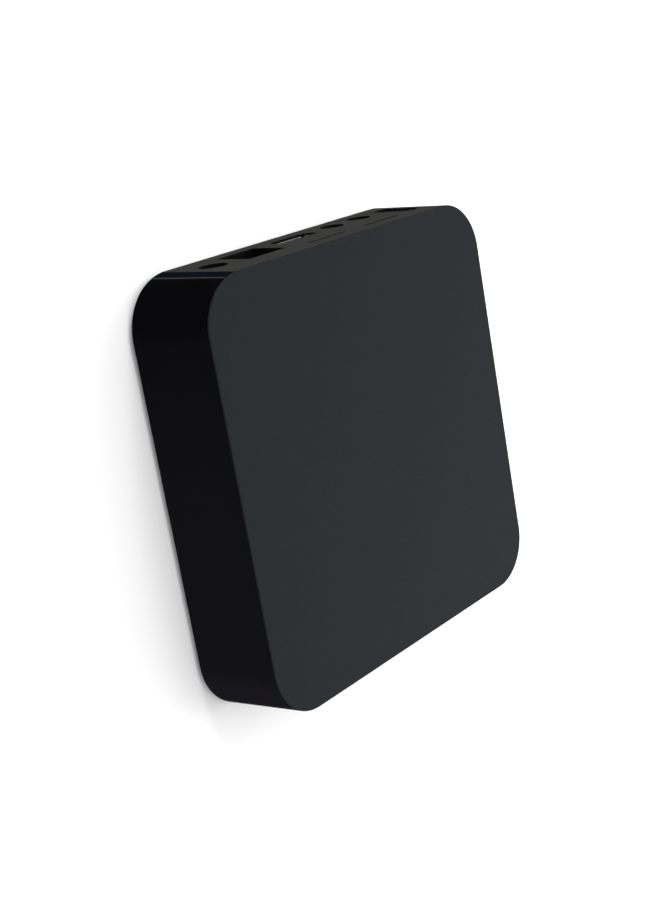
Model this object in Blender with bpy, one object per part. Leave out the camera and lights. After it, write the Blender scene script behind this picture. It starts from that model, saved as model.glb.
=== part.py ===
"""A streaming media player: a square set-top box with ports on its rear and right sides.

The box stands on four rubber feet. +Z is up, +Y is the rear, where most ports are, and +X is the
right-hand side seen from the front. The origin is on the standing surface, under the middle of the box.
Every size in this file is in millimetres, and mesh_object() and place() turn them into metres.
"""

import math

import bmesh
import bpy

MM = 0.001
GAP = 0.3  # between pieces that rest on, or fit inside, one another

# The case: a square with round corners, whose walls spread a little from top to bottom.
TOP_SIDE = 118.0
TOP_CORNER = 14.5
FLARE = 1.0  # how far each wall stands out further at the bottom than at the top
CASE_BOTTOM = 1.6
CASE_TOP = 28.0
WALL = 2.0
CORNER_CENTRE = TOP_SIDE / 2 - TOP_CORNER
CORNER_STEPS = 10
BAND_START = 5.0  # degrees round the rear corners, where the side band takes over from the rear panel

# The lid and the base fit inside the walls, each with a rib round its edge.
LID_EDGE = 0.5
LID_ROUND = 0.3
LID_PLATE = 2.0
LID_RIB_DEPTH = 4.0
WALL_TOP = CASE_TOP - LID_EDGE - GAP
RIB_OUTER = WALL + GAP
RIB_INNER = RIB_OUTER + 1.2
BASE_PLATE_TOP = CASE_BOTTOM + 1.8
BASE_RIB_TOP = BASE_PLATE_TOP + 2.2

# Screws and feet, each at the same distance from the middle along X and Y.
CASE_SCREW_AT = 48.0
FOOT_AT = 38.0
FOOT_RADIUS = 6.0
FOOT_RECESS = 0.6
WELL_RADIUS, WELL_TOP = 4.2, 4.4
SCREW_SEAT = 3.5
SCREW_HEAD_HOLE, SCREW_SHANK_HOLE = 2.9, 1.5
BOSS_RADIUS = 3.25
BOSS_BORE, BOSS_BORE_DEPTH = 1.4, 9.0
VENT_LENGTH, VENT_WIDTH, VENT_CORNER = 23.0, 2.0, 0.95
VENT_X, VENT_PITCH, VENT_ROWS = 16.0, 6.0, 7

# The circuit board.
BOARD_THICKNESS = 1.6
BOARD_TOP = 6.3
BOARD_BOTTOM = BOARD_TOP - BOARD_THICKNESS
BOARD_LEFT, BOARD_RIGHT = -52.0, 54.0
BOARD_FRONT, BOARD_REAR = -50.0, 54.0
BOARD_NOTCH = 44.0  # the corners beyond this are cut away for the lid's bosses
BOARD_HOLE_X = 46.0
BOARD_HOLE_REAR, BOARD_HOLE_FRONT = 38.0, -39.5
POST_RADIUS, POST_BORE = 2.6, 1.25
SEAT = BOARD_TOP + GAP  # where the parts on the board start

# The rear ports, from left to right seen in the row's own X, with heights over the seat.
DEEP_MOUTH = 57.0  # the front faces of jacks that stay behind the wall
DC_X, DC_HEIGHT, DC_HOLE = -38.3, 6.7, 3.9
ETHERNET_X = -22.5
ETHERNET_CUT = (15.0, 6.3, 18.6)  # width, lowest and highest edge
HDMI_X = -1.3
HDMI_MOUTH = 59.1
AV_X, AUDIO_X = 16.0, 28.5
AUDIO_MOUTH = 59.1
AUDIO_HEIGHT = 2.6
AUDIO_HOLE = 3.5
REAR_USB_X = 40.4
REAR_USB_LIFT = 0.8  # it stands on its narrow side, on short legs
REAR_SLOT_X = (-1.3, 23.4)
REAR_SLOT_LENGTH, REAR_SLOT_WIDTH, REAR_SLOT_Z = 15.9, 1.2, 21.4

# Both USB sockets, and the right-hand ports.
USB_MOUTH = 58.9
USB_WIDTH, USB_HEIGHT, USB_DEPTH, USB_WALL = 13.1, 5.7, 14.0, 0.35
USB_HOLE_CORNER = 0.9
RIGHT_USB_Y = 12.0
CARD_Y = -21.0
CARD_MOUTH = 57.2
CARD_WIDTH, CARD_DEPTH, CARD_BASE_HEIGHT = 27.4, 27.4, 2.9
CARD_LANE_LEFT, CARD_LANE_RIGHT = -10.4, 13.0  # the card's own lane, seen from its mouth
CARD_SLOT_HEIGHT = 3.0
CARD_TRAVEL = 6.0
RESET_Y = 33.5
RESET_FACE = 54.0
RESET_HEIGHT = 1.6
PINHOLE_RADIUS = 0.8

# The front.
WINDOW_HALF, WINDOW_LOW, WINDOW_HIGH, WINDOW_CORNER = 13.0, 10.6, 17.4, 3.3

# Looks: colour, roughness, metallic.
SOFT_TOUCH = ((0.028, 0.032, 0.036), 0.62, 0.0)
TEXTURED = ((0.036, 0.037, 0.034), 0.7, 0.0)
GLOSS_BLACK = ((0.004, 0.004, 0.005), 0.08, 0.0)
SMOKED = ((0.01, 0.004, 0.006), 0.05, 0.0)
MATTE_BLACK = ((0.015, 0.015, 0.016), 0.55, 0.0)
RUBBER = ((0.02, 0.02, 0.021), 0.85, 0.0)
STEEL = ((0.55, 0.55, 0.56), 0.3, 1.0)
ZINC = ((0.35, 0.35, 0.37), 0.35, 1.0)
ALUMINIUM = ((0.6, 0.6, 0.62), 0.4, 1.0)
BRASS = ((0.75, 0.55, 0.25), 0.3, 1.0)
BOARD_GREEN = ((0.01, 0.07, 0.035), 0.4, 0.0)
CHIP_BLACK = ((0.02, 0.02, 0.022), 0.5, 0.0)
PAD_GREY = ((0.3, 0.32, 0.35), 0.8, 0.0)
IVORY = ((0.7, 0.68, 0.6), 0.45, 0.0)
CLEAR_WHITE = ((0.8, 0.85, 0.9), 0.2, 0.0)
FERRITE = ((0.06, 0.06, 0.065), 0.6, 0.0)


def clear_scene():
    for thing in list(bpy.data.objects):
        bpy.data.objects.remove(thing, do_unlink=True)


# Outlines: lists of flat points.


def rectangle(left, low, right, high):
    return [(left, low), (right, low), (right, high), (left, high)]


def circle(radius, at=(0.0, 0.0), sides=20):
    turns = [2 * math.pi * (side + 0.5) / sides for side in range(sides)]
    return [(at[0] + radius * math.cos(turn), at[1] + radius * math.sin(turn)) for turn in turns]


def rounded_rectangle(half_x, half_y, radius, steps=5):
    """Clockwise, from the right-hand end of the top side, so that the last point ends that side."""
    points = []
    corners = ((1, 1), (1, -1), (-1, -1), (-1, 1))
    for index, (side_x, side_y) in enumerate(corners):
        for step in range(steps + 1):
            turn = math.radians(90 - 90 * (index + step / steps))
            x = side_x * (half_x - radius) + radius * math.cos(turn)
            y = side_y * (half_y - radius) + radius * math.sin(turn)
            points.append((x, y))
    return points


def shifted(outline, across, up):
    return [(u + across, v + up) for u, v in outline]


# Closed shapes, added to a bmesh.


def lay_along(axis, u, v, w):
    """Turns a flat point and a distance along the axis into a place in space."""
    return {"X": (w, u, v), "Y": (u, w, v), "Z": (u, v, w)}[axis]


def add_loft(bm, loops, ring=False, open_path=False):
    """Joins loops of as many points each. A ring comes back to its first loop, and an open path
    leaves out the side between each loop's last and first points, and caps both ends."""
    rows = [[bm.verts.new(point) for point in loop] for loop in loops]
    count = len(rows[0])
    following = rows[1:] + rows[:1] if ring else rows[1:]
    for row, other in zip(rows, following):
        for here in range(count - 1 if open_path else count):
            there = (here + 1) % count
            bm.faces.new((row[here], row[there], other[there], other[here]))
    if open_path:
        bm.faces.new([row[0] for row in rows])
        bm.faces.new([row[-1] for row in rows])
    elif not ring:
        bm.faces.new(rows[0])
        bm.faces.new(rows[-1])


def add_prism(bm, outline, low, high, axis="Z"):
    add_loft(bm, [[lay_along(axis, u, v, w) for u, v in outline] for w in (low, high)])


def add_box(bm, low, high):
    add_prism(bm, rectangle(low[0], low[1], high[0], high[1]), low[2], high[2])


def add_turned(bm, profile, at=(0.0, 0.0), axis="Z", sides=20):
    """A solid of revolution. The profile's points are (radius, distance along the axis)."""
    loops = []
    for radius, w in profile:
        loops.append([lay_along(axis, u, v, w) for u, v in circle(radius, at, sides)])
    add_loft(bm, loops)


def add_tube(bm, outer, inner, low, high, axis="Y"):
    """A straight tube between two outlines of as many points."""
    loops = []
    for outline, w in ((outer, low), (outer, high), (inner, high), (inner, low)):
        loops.append([lay_along(axis, u, v, w) for u, v in outline])
    add_loft(bm, loops, ring=True)


# The case's leaning walls.


def spread(z):
    return FLARE * (CASE_TOP - z) / (CASE_TOP - CASE_BOTTOM)


def half_side(z, inset=0.0):
    return TOP_SIDE / 2 + spread(z) - inset


def case_loop(z, inset):
    """The case's outline at a height, moved inwards. It starts and ends at the rear wall's ends."""
    half = half_side(z, inset)
    radius = half - CORNER_CENTRE
    return [(x, y, z) for x, y in rounded_rectangle(half, half, radius, CORNER_STEPS)]


def band_end(z, inset):
    """Where the side band's outline starts, on the rear right corner."""
    radius = half_side(z, inset) - CORNER_CENTRE
    turn = math.radians(BAND_START)
    return CORNER_CENTRE + radius * math.sin(turn), CORNER_CENTRE + radius * math.cos(turn)


def band_loop(z, inset):
    """The case's outline without the rear panel's share of it."""
    loop = case_loop(z, inset)
    skipped = math.ceil(BAND_START / (90 / CORNER_STEPS))
    x, y = band_end(z, inset)
    return [(x, y, z)] + loop[skipped:-skipped] + [(-x, y, z)]


def wall_point(wall, across, z, inset):
    out = half_side(z, inset)
    return {"rear": (across, out, z), "front": (across, -out, z)}[wall]


def add_wall_piece(bm, wall, outline, outer, inner):
    """A plate in a leaning wall. The outline's points are (along the wall, height)."""
    add_loft(bm, [[wall_point(wall, u, z, inset) for u, z in outline] for inset in (outer, inner)])


def four_corners(distance):
    return {
        "front_left": (-distance, -distance),
        "front_right": (distance, -distance),
        "rear_left": (-distance, distance),
        "rear_right": (distance, distance),
    }


# Objects.


def make_material(name, look):
    colour, roughness, metallic = look
    material = bpy.data.materials.new(name)
    material.use_nodes = True
    shader = material.node_tree.nodes["Principled BSDF"]
    shader.inputs["Base Color"].default_value = (*colour, 1.0)
    shader.inputs["Roughness"].default_value = roughness
    shader.inputs["Metallic"].default_value = metallic
    material.diffuse_color = (*colour, 1.0)
    return material


def mesh_object(name, fill):
    """An object whose closed shapes fill(bm) adds in millimetres, round the object's own origin."""
    bm = bmesh.new()
    fill(bm)
    bmesh.ops.recalc_face_normals(bm, faces=bm.faces)
    bmesh.ops.scale(bm, vec=(MM, MM, MM), verts=bm.verts)
    mesh = bpy.data.meshes.new(name)
    bm.to_mesh(mesh)
    bm.free()
    mesh.shade_smooth()
    mesh.set_sharp_from_angle(angle=math.radians(35))
    thing = bpy.data.objects.new(name, mesh)
    bpy.context.scene.collection.objects.link(thing)
    return thing


def place(thing, at, turn=0.0, parent=None):
    thing.location = [value * MM for value in at]
    thing.rotation_euler = (0.0, 0.0, math.radians(turn))
    thing.parent = parent
    return thing


def group(name, at=(0.0, 0.0, 0.0), turn=0.0, parent=None):
    empty = bpy.data.objects.new(name, None)
    bpy.context.scene.collection.objects.link(empty)
    return place(empty, at, turn, parent)


def piece(name, look, fill, at=(0.0, 0.0, 0.0), turn=0.0, parent=None):
    thing = mesh_object(name, fill)
    thing.data.materials.append(make_material(name, look))
    return place(thing, at, turn, parent)


def change(body, operation, fill):
    """Joins (UNION) the closed shapes that fill(bm) adds to the body, or cuts (DIFFERENCE) them."""
    helper = mesh_object(f"{body.name}_{operation.lower()}", fill)
    helper.hide_render = True
    helper.display_type = "WIRE"
    helper.parent = body
    modifier = body.modifiers.new(operation.title(), "BOOLEAN")
    modifier.operation = operation
    modifier.solver = "EXACT"
    modifier.object = helper
    return body


# The case.


def hdmi_outline(half_width, low, high):
    """An HDMI socket seen from its mouth: wide at the top, with its lower corners cut off."""
    slant_height = low + 0.36 * (high - low)
    foot_half = half_width - 1.6
    return [
        (-half_width, high),
        (half_width, high),
        (half_width, slant_height),
        (foot_half, low),
        (-foot_half, low),
        (-half_width, slant_height),
    ]


def make_top_cover(parent):
    def shell(bm):
        profile = [
            (LID_ROUND, CASE_TOP),
            (0.3 * LID_ROUND, CASE_TOP - 0.3 * LID_ROUND),
            (0.0, CASE_TOP - LID_ROUND),
            (0.0, CASE_TOP - LID_EDGE),
            (RIB_OUTER, CASE_TOP - LID_EDGE),
            (RIB_OUTER, CASE_TOP - LID_RIB_DEPTH),
            (RIB_INNER, CASE_TOP - LID_RIB_DEPTH),
            (RIB_INNER, CASE_TOP - LID_PLATE),
        ]
        add_loft(bm, [case_loop(z, inset) for inset, z in profile])

    def bosses(bm):
        for at in four_corners(CASE_SCREW_AT).values():
            add_prism(bm, circle(BOSS_RADIUS, at), WELL_TOP + GAP, CASE_TOP - LID_PLATE / 2)

    def bores(bm):
        for at in four_corners(CASE_SCREW_AT).values():
            add_prism(bm, circle(BOSS_BORE, at, 12), WELL_TOP, WELL_TOP + BOSS_BORE_DEPTH)

    cover = piece("top_cover", SOFT_TOUCH, shell, parent=parent)
    change(cover, "UNION", bosses)
    change(cover, "DIFFERENCE", bores)


def make_side_band(parent):
    def wall(bm):
        profile = ((0.0, CASE_BOTTOM), (0.0, WALL_TOP), (WALL, WALL_TOP), (WALL, CASE_BOTTOM))
        add_loft(bm, [band_loop(z, inset) for inset, z in profile], ring=True, open_path=True)

    def openings(bm):
        inside, outside = half_side(CASE_TOP) - WALL - 2.0, half_side(0.0) + 2.0
        usb = rounded_rectangle(USB_WIDTH / 2 + GAP, USB_HEIGHT / 2 + GAP, USB_HOLE_CORNER, 3)
        add_prism(bm, shifted(usb, RIGHT_USB_Y, SEAT + USB_HEIGHT / 2), inside, outside, "X")
        # The card's lane is off the socket's middle, and seen from outside its right is the front.
        lane = (CARD_LANE_LEFT + CARD_LANE_RIGHT) / 2
        slot_half = (CARD_LANE_RIGHT - CARD_LANE_LEFT) / 2 + 0.7
        slot = rounded_rectangle(slot_half, CARD_SLOT_HEIGHT / 2, 1.0, 3)
        add_prism(bm, shifted(slot, CARD_Y - lane, SEAT + 1.9), inside, outside, "X")
        pinhole = circle(PINHOLE_RADIUS, (RESET_Y, SEAT + RESET_HEIGHT), 12)
        add_prism(bm, pinhole, inside, outside, "X")
        add_prism(bm, window_outline(GAP), -outside, -inside, "Y")

    band = piece("side_band", GLOSS_BLACK, wall, parent=parent)
    change(band, "DIFFERENCE", openings)


def window_outline(grow=0.0):
    half_height = (WINDOW_HIGH - WINDOW_LOW) / 2
    outline = rounded_rectangle(WINDOW_HALF + grow, half_height + grow, WINDOW_CORNER + grow, 6)
    return shifted(outline, 0.0, (WINDOW_HIGH + WINDOW_LOW) / 2)


def make_front_window(parent):
    def lens(bm):
        add_wall_piece(bm, "front", window_outline(), 0.0, WALL)

    piece("front_window", SMOKED, lens, parent=parent)


def make_rear_panel(parent):
    half = band_end(CASE_TOP, WALL)[0] - GAP

    def plate(bm):
        add_wall_piece(bm, "rear", rectangle(-half, CASE_BOTTOM, half, WALL_TOP), 0.0, WALL)

    def flanges(bm):
        """An upright L at each end, which reaches behind the band's end."""
        root, step, end = half - 1.1, half - 0.3, half + 1.9
        section = ((root, 1.5), (step, 1.5), (step, 2.7), (end, 2.7), (end, 3.6), (root, 3.6))
        heights = (BASE_RIB_TOP + GAP, CASE_TOP - LID_RIB_DEPTH - GAP)
        for side in (-1, 1):
            loops = []
            for z in heights:
                loops.append([wall_point("rear", side * x, z, inset) for x, inset in section])
            add_loft(bm, loops)

    def openings(bm):
        inside, outside = half_side(CASE_TOP) - WALL - 2.0, half_side(0.0) + 2.0
        width, low, high = ETHERNET_CUT
        ethernet = rectangle(ETHERNET_X - width / 2, low, ETHERNET_X + width / 2, high)
        usb = rounded_rectangle(USB_HEIGHT / 2 + GAP, USB_WIDTH / 2 + GAP, USB_HOLE_CORNER, 3)
        outlines = [
            circle(DC_HOLE, (DC_X, SEAT + DC_HEIGHT), 28),
            ethernet,
            shifted(hdmi_outline(8.0, 6.4, 11.9), HDMI_X, 0.0),
            circle(AUDIO_HOLE, (AV_X, SEAT + AUDIO_HEIGHT), 28),
            circle(AUDIO_HOLE, (AUDIO_X, SEAT + AUDIO_HEIGHT), 28),
            shifted(usb, REAR_USB_X, SEAT + REAR_USB_LIFT + USB_WIDTH / 2),
        ]
        for x in REAR_SLOT_X:
            slot = rounded_rectangle(REAR_SLOT_LENGTH / 2, REAR_SLOT_WIDTH / 2, 0.35, 2)
            outlines.append(shifted(slot, x, REAR_SLOT_Z))
        for outline in outlines:
            add_prism(bm, outline, inside, outside, "Y")

    panel = piece("rear_panel", TEXTURED, plate, parent=parent)
    change(panel, "UNION", flanges)
    change(panel, "DIFFERENCE", openings)


def make_base_cover(parent):
    def shell(bm):
        profile = [
            (RIB_OUTER + 0.3, CASE_BOTTOM),
            (RIB_OUTER, CASE_BOTTOM + 0.3),
            (RIB_OUTER, BASE_RIB_TOP),
            (RIB_INNER, BASE_RIB_TOP),
            (RIB_INNER, BASE_PLATE_TOP),
        ]
        add_loft(bm, [case_loop(z, inset) for inset, z in profile])

    def wells_and_posts(bm):
        inside_plate = BASE_PLATE_TOP - 0.7
        for at in four_corners(CASE_SCREW_AT).values():
            add_prism(bm, circle(WELL_RADIUS, at), inside_plate, WELL_TOP)
        for at in board_holes():
            add_prism(bm, circle(POST_RADIUS, at, 16), inside_plate, BOARD_BOTTOM - GAP)

    def recesses(bm):
        below = CASE_BOTTOM - 1.0
        for at in four_corners(FOOT_AT).values():
            add_prism(bm, circle(FOOT_RADIUS + GAP, at, 28), below, CASE_BOTTOM + FOOT_RECESS)
        head_hole = [(SCREW_HEAD_HOLE, below), (SCREW_HEAD_HOLE, SCREW_SEAT)]
        shank_hole = [(SCREW_SHANK_HOLE, SCREW_SEAT), (SCREW_SHANK_HOLE, WELL_TOP + 1.0)]
        for at in four_corners(CASE_SCREW_AT).values():
            add_turned(bm, head_hole + shank_hole, at)
        for at in board_holes():
            add_prism(bm, circle(POST_BORE, at, 12), CASE_BOTTOM + 0.8, BOARD_TOP)
        vent = rounded_rectangle(VENT_LENGTH / 2, VENT_WIDTH / 2, VENT_CORNER, 3)
        for row in range(VENT_ROWS):
            y = VENT_PITCH * (row - (VENT_ROWS - 1) / 2)
            for side in (-1, 1):
                add_prism(bm, shifted(vent, VENT_X * side, y), below, BASE_PLATE_TOP + 1.0)

    base = piece("base_cover", MATTE_BLACK, shell, parent=parent)
    change(base, "UNION", wells_and_posts)
    change(base, "DIFFERENCE", recesses)


def make_feet(parent):
    top = CASE_BOTTOM + FOOT_RECESS - GAP

    def foot(bm):
        edge = 0.5
        profile = [(FOOT_RADIUS - edge, 0.0), (FOOT_RADIUS, edge), (FOOT_RADIUS, top)]
        add_turned(bm, profile, sides=28)

    for corner, at in four_corners(FOOT_AT).items():
        piece(f"foot_{corner}", RUBBER, foot, (*at, 0.0), parent=parent)


def make_screw(name, at, head, shank, parent, head_up):
    """A pan-head screw. Its origin is under its head, and its shank points away from the head."""
    head_radius, head_height = head
    shank_radius, shank_length = shank
    up = 1 if head_up else -1

    def body(bm):
        profile = [
            (0.5 * shank_radius, -up * shank_length),
            (shank_radius, -up * (shank_length - 0.8)),
            (shank_radius, 0.0),
            (head_radius, 0.0),
            (head_radius, up * 0.6 * head_height),
            (0.75 * head_radius, up * head_height),
        ]
        add_turned(bm, profile, sides=14)

    def cross(bm):
        arm, half_width = 0.62 * head_radius, 0.14 * head_radius
        low, high = sorted((up * 0.45 * head_height, up * 2.0 * head_height))
        plus = []
        for quarter in range(4):
            turn = math.pi / 2 * quarter
            for u, v in ((half_width, half_width), (half_width, arm), (-half_width, arm)):
                x = u * math.cos(turn) - v * math.sin(turn)
                y = u * math.sin(turn) + v * math.cos(turn)
                plus.append((x, y))
        add_prism(bm, plus, low, high)

    screw = piece(name, STEEL, body, at, parent=parent)
    change(screw, "DIFFERENCE", cross)


def make_case_screws(parent):
    for corner, (x, y) in four_corners(CASE_SCREW_AT).items():
        at = (x, y, SCREW_SEAT - GAP)
        make_screw(f"case_screw_{corner}", at, (2.4, 1.3), (1.1, 8.0), parent, head_up=False)


def make_case():
    case = group("case")
    make_top_cover(case)
    make_side_band(case)
    make_front_window(case)
    make_rear_panel(case)
    make_base_cover(case)
    make_feet(case)
    make_case_screws(case)


# The board and the chips on it. Their places are (x, y) on the board.


def board_holes():
    return [(x, y) for y in (BOARD_HOLE_FRONT, BOARD_HOLE_REAR) for x in (-BOARD_HOLE_X, BOARD_HOLE_X)]


def make_board(parent):
    def plate(bm):
        outline = [
            (-BOARD_NOTCH, BOARD_FRONT),
            (BOARD_NOTCH, BOARD_FRONT),
            (BOARD_NOTCH, -BOARD_NOTCH),
            (BOARD_RIGHT, -BOARD_NOTCH),
            (BOARD_RIGHT, BOARD_NOTCH),
            (BOARD_NOTCH, BOARD_NOTCH),
            (BOARD_NOTCH, BOARD_REAR),
            (-BOARD_NOTCH, BOARD_REAR),
            (-BOARD_NOTCH, BOARD_NOTCH),
            (BOARD_LEFT, BOARD_NOTCH),
            (BOARD_LEFT, -BOARD_NOTCH),
            (-BOARD_NOTCH, -BOARD_NOTCH),
        ]
        add_prism(bm, outline, BOARD_BOTTOM, BOARD_TOP)

    def holes(bm):
        for at in board_holes():
            add_prism(bm, circle(1.35, at, 16), BOARD_BOTTOM - 1.0, BOARD_TOP + 1.0)

    board = piece("main_board", BOARD_GREEN, plate, parent=parent)
    change(board, "DIFFERENCE", holes)
    for number, (x, y) in enumerate(board_holes(), 1):
        make_screw(f"board_screw_{number}", (x, y, SEAT), (2.2, 1.2), (0.95, 3.9), parent, head_up=True)


def make_chip(name, size, at, parent, look=CHIP_BLACK, edge=0.15):
    """A moulded chip with a bevelled top edge and a round mark by its first pin."""
    half_x, half_y, height = size[0] / 2, size[1] / 2, size[2]

    def body(bm):
        loops = []
        for inset, z in ((0.0, 0.0), (0.0, height - edge), (edge, height)):
            corners = rectangle(inset - half_x, inset - half_y, half_x - inset, half_y - inset)
            loops.append([(x, y, z) for x, y in corners])
        add_loft(bm, loops)

    def mark(bm):
        corner = (0.12 * size[0] - half_x + 0.3, half_y - 0.12 * size[1] - 0.3)
        add_prism(bm, circle(0.4, corner, 10), height - 0.1, height + 0.5)

    chip = piece(name, look, body, (*at, 0.0), parent=parent)
    change(chip, "DIFFERENCE", mark)


def make_processor(parent):
    """The main chip, a soft pad on it, and a finned heat sink on the pad."""
    x, y = 4.0, -8.0
    chip_height, pad_height = 1.2, 0.8
    make_chip("soc", (19.0, 19.0, chip_height), (x, y), parent)
    pad_bottom = chip_height + GAP

    def pad(bm):
        loops = []
        for z, half in ((0.0, 9.6), (0.5 * pad_height, 10.0), (pad_height, 9.6)):
            loops.append([(px, py, z) for px, py in rounded_rectangle(half, half, 1.0, 3)])
        add_loft(bm, loops)

    piece("thermal_pad", PAD_GREY, pad, (x, y, pad_bottom), parent=parent)

    def sink(bm):
        half, plate, fin_top, fins, thickness = 18.0, 2.0, 9.0, 9, 1.3
        pitch = (2 * half - thickness) / (fins - 1)
        outline = [(half, 0.0)]
        for fin in reversed(range(fins)):
            left = -half + fin * pitch
            right = left + thickness
            outline += [(right, plate), (right, fin_top), (left, fin_top), (left, plate)]
        outline.append((-half, 0.0))
        # The end fins' own feet lie on the plate's sides, so they need no point of their own.
        del outline[1], outline[-2]
        add_prism(bm, outline, -half, half, "Y")

    piece("heatsink", ALUMINIUM, sink, (x, y, pad_bottom + pad_height + GAP), parent=parent)


def make_memory(parent):
    ram = (9.0, 13.0, 1.0)
    for number, at in enumerate(((-24.0, 8.0), (-24.0, -8.0), (-24.0, -24.0), (-6.0, 20.0)), 1):
        make_chip(f"ram_chip_{number}", ram, at, parent)
    make_chip("flash_chip", (18.4, 12.0, 1.1), (-5.0, -37.0), parent)


def make_power(parent):
    make_chip("power_regulator", (5.0, 5.0, 0.9), (-34.0, 19.0), parent)

    def inductor(bm):
        profile = ((3.5, 0.8, 0.0), (3.5, 0.8, 1.2), (3.3, 2.6, 1.8), (3.2, 2.5, 3.3), (2.9, 2.2, 3.6))
        loops = []
        for half, radius, z in profile:
            loops.append([(x, y, z) for x, y in rounded_rectangle(half, half, radius, 4)])
        add_loft(bm, loops)

    for number, at in enumerate(((-43.5, 26.0), (-43.5, 14.0)), 1):
        piece(f"inductor_{number}", FERRITE, inductor, (*at, 0.0), parent=parent)

    def foot_plate(bm):
        add_prism(bm, rounded_rectangle(3.3, 3.3, 0.5, 2), 0.0, 0.9)

    def can(bm):
        profile = [(3.0, 0.5), (3.15, 1.1), (3.15, 1.7), (2.95, 2.0), (3.15, 2.3), (3.15, 6.8), (2.9, 7.1)]
        add_turned(bm, profile, sides=20)

    for number, at in enumerate(((-37.0, 34.0), (36.0, 24.0)), 1):
        capacitor = piece(f"capacitor_{number}", ALUMINIUM, foot_plate, (*at, 0.0), parent=parent)
        change(capacitor, "UNION", can)


def make_clock(parent):
    def can(bm):
        loops = []
        for inset, z in ((0.0, 0.0), (0.0, 0.6), (0.4, 0.6), (0.4, 3.1), (0.7, 3.4)):
            outline = rounded_rectangle(5.5 - inset, 2.3 - inset, 2.2 - inset, 5)
            loops.append([(x, y, z) for x, y in outline])
        add_loft(bm, loops)

    piece("crystal", ZINC, can, (17.0, 22.0, 0.0), parent=parent)


def make_debug_header(parent):
    pitch, pins = 2.54, 4

    def strip(bm):
        half = pitch * pins / 2
        add_box(bm, (-half, -1.25, 0.0), (half, 1.25, 2.5))

    def legs(bm):
        for pin in range(pins):
            x = pitch * (pin - (pins - 1) / 2)
            add_box(bm, (x - 0.32, -0.32, 1.0), (x + 0.32, 0.32, 8.4))

    header = piece("debug_header", CHIP_BLACK, strip, (22.0, -42.0, 0.0), parent=parent)
    change(header, "UNION", legs)


# Wi-Fi: a module, and a lead to the aerial on the left wall.

MODULE_AT = (-40.0, -14.0)
PLUG_AT = (-40.0, -3.6)
AERIAL_X = -56.6
AERIAL_HEIGHT = 7.5  # of its solder joint, over the seat
CABLE_RADIUS = 0.55


def make_wifi(parent):
    def carrier(bm):
        add_prism(bm, rounded_rectangle(6.2, 8.0, 0.4, 1), 0.0, 0.8)

    def can(bm):
        loops = []
        for inset, z in ((0.0, 0.4), (0.0, 2.3), (0.3, 2.5)):
            loops.append([(x, y - 1.6, z) for x, y in rounded_rectangle(5.6 - inset, 5.9 - inset, 0.6, 2)])
        add_loft(bm, loops)

    module = piece("wifi_module", ZINC, carrier, (*MODULE_AT, 0.0), parent=parent)
    change(module, "UNION", can)

    def plug(bm):
        add_turned(bm, [(1.4, 0.0), (1.5, 0.4), (1.5, 1.0), (1.2, 1.3)], sides=14)

    plug_bottom = 0.4
    piece("antenna_plug", BRASS, plug, (*PLUG_AT, plug_bottom), parent=parent)

    def aerial(bm):
        notched = [
            (-18.0, -4.5), (-2.0, -4.5), (-2.0, -1.0), (-0.6, -1.0), (-0.6, -4.5),
            (18.0, -4.5), (18.0, 3.5), (17.0, 4.5), (-17.0, 4.5), (-18.0, 3.5),
        ]
        add_prism(bm, notched, -0.4, 0.4, "X")

    piece("wifi_antenna", BOARD_GREEN, aerial, (AERIAL_X, -8.0, AERIAL_HEIGHT), parent=parent)
    make_antenna_cable(parent)


def smooth_route(points, spacing):
    """Points about this far apart on a smooth curve through the given ones."""
    padded = [points[0]] + points + [points[-1]]
    route = []
    for before, start, end, after in zip(padded, padded[1:], padded[2:], padded[3:]):
        steps = max(1, round(math.dist(start, end) / spacing))
        for step in range(steps):
            t = step / steps
            weights = (
                0.5 * (-t + 2 * t**2 - t**3),
                0.5 * (2 - 5 * t**2 + 3 * t**3),
                0.5 * (t + 4 * t**2 - 3 * t**3),
                0.5 * (t**3 - t**2),
            )
            corners = (before, start, end, after)
            route.append([sum(w * c[k] for w, c in zip(weights, corners)) for k in range(3)])
    return route + [points[-1]]


def make_antenna_cable(parent):
    """A thin coaxial lead, from the plug to the aerial's solder joint, over the board's left edge."""
    points = [
        (PLUG_AT[0] - 1.9, PLUG_AT[1], 1.1),
        (PLUG_AT[0] - 4.0, PLUG_AT[1] + 0.2, 1.3),
        (PLUG_AT[0] - 7.5, PLUG_AT[1] + 1.4, 2.4),
        (PLUG_AT[0] - 11.0, PLUG_AT[1] + 1.8, 4.6),
        (PLUG_AT[0] - 13.6, PLUG_AT[1] - 0.6, 6.4),
        (PLUG_AT[0] - 14.6, PLUG_AT[1] - 4.0, AERIAL_HEIGHT),
        (AERIAL_X + 1.5, -11.0, AERIAL_HEIGHT),
        (AERIAL_X + 1.4, -14.0, AERIAL_HEIGHT),
    ]
    route = smooth_route(points, 2.4 * CABLE_RADIUS * 2)
    curve = bpy.data.curves.new("antenna_cable", "CURVE")
    curve.dimensions = "3D"
    curve.bevel_depth = CABLE_RADIUS * MM
    curve.bevel_resolution = 2
    curve.use_fill_caps = True
    line = curve.splines.new("POLY")
    line.points.add(len(route) - 1)
    for point, at in zip(line.points, route):
        point.co = (*[value * MM for value in at], 1.0)
    cable = bpy.data.objects.new("antenna_cable", curve)
    bpy.context.scene.collection.objects.link(cable)
    curve.materials.append(make_material("antenna_cable", MATTE_BLACK))
    cable.parent = parent


# Rear sockets. Each is made with its mouth at y = 0, facing +Y, and its underside at z = 0.


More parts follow.
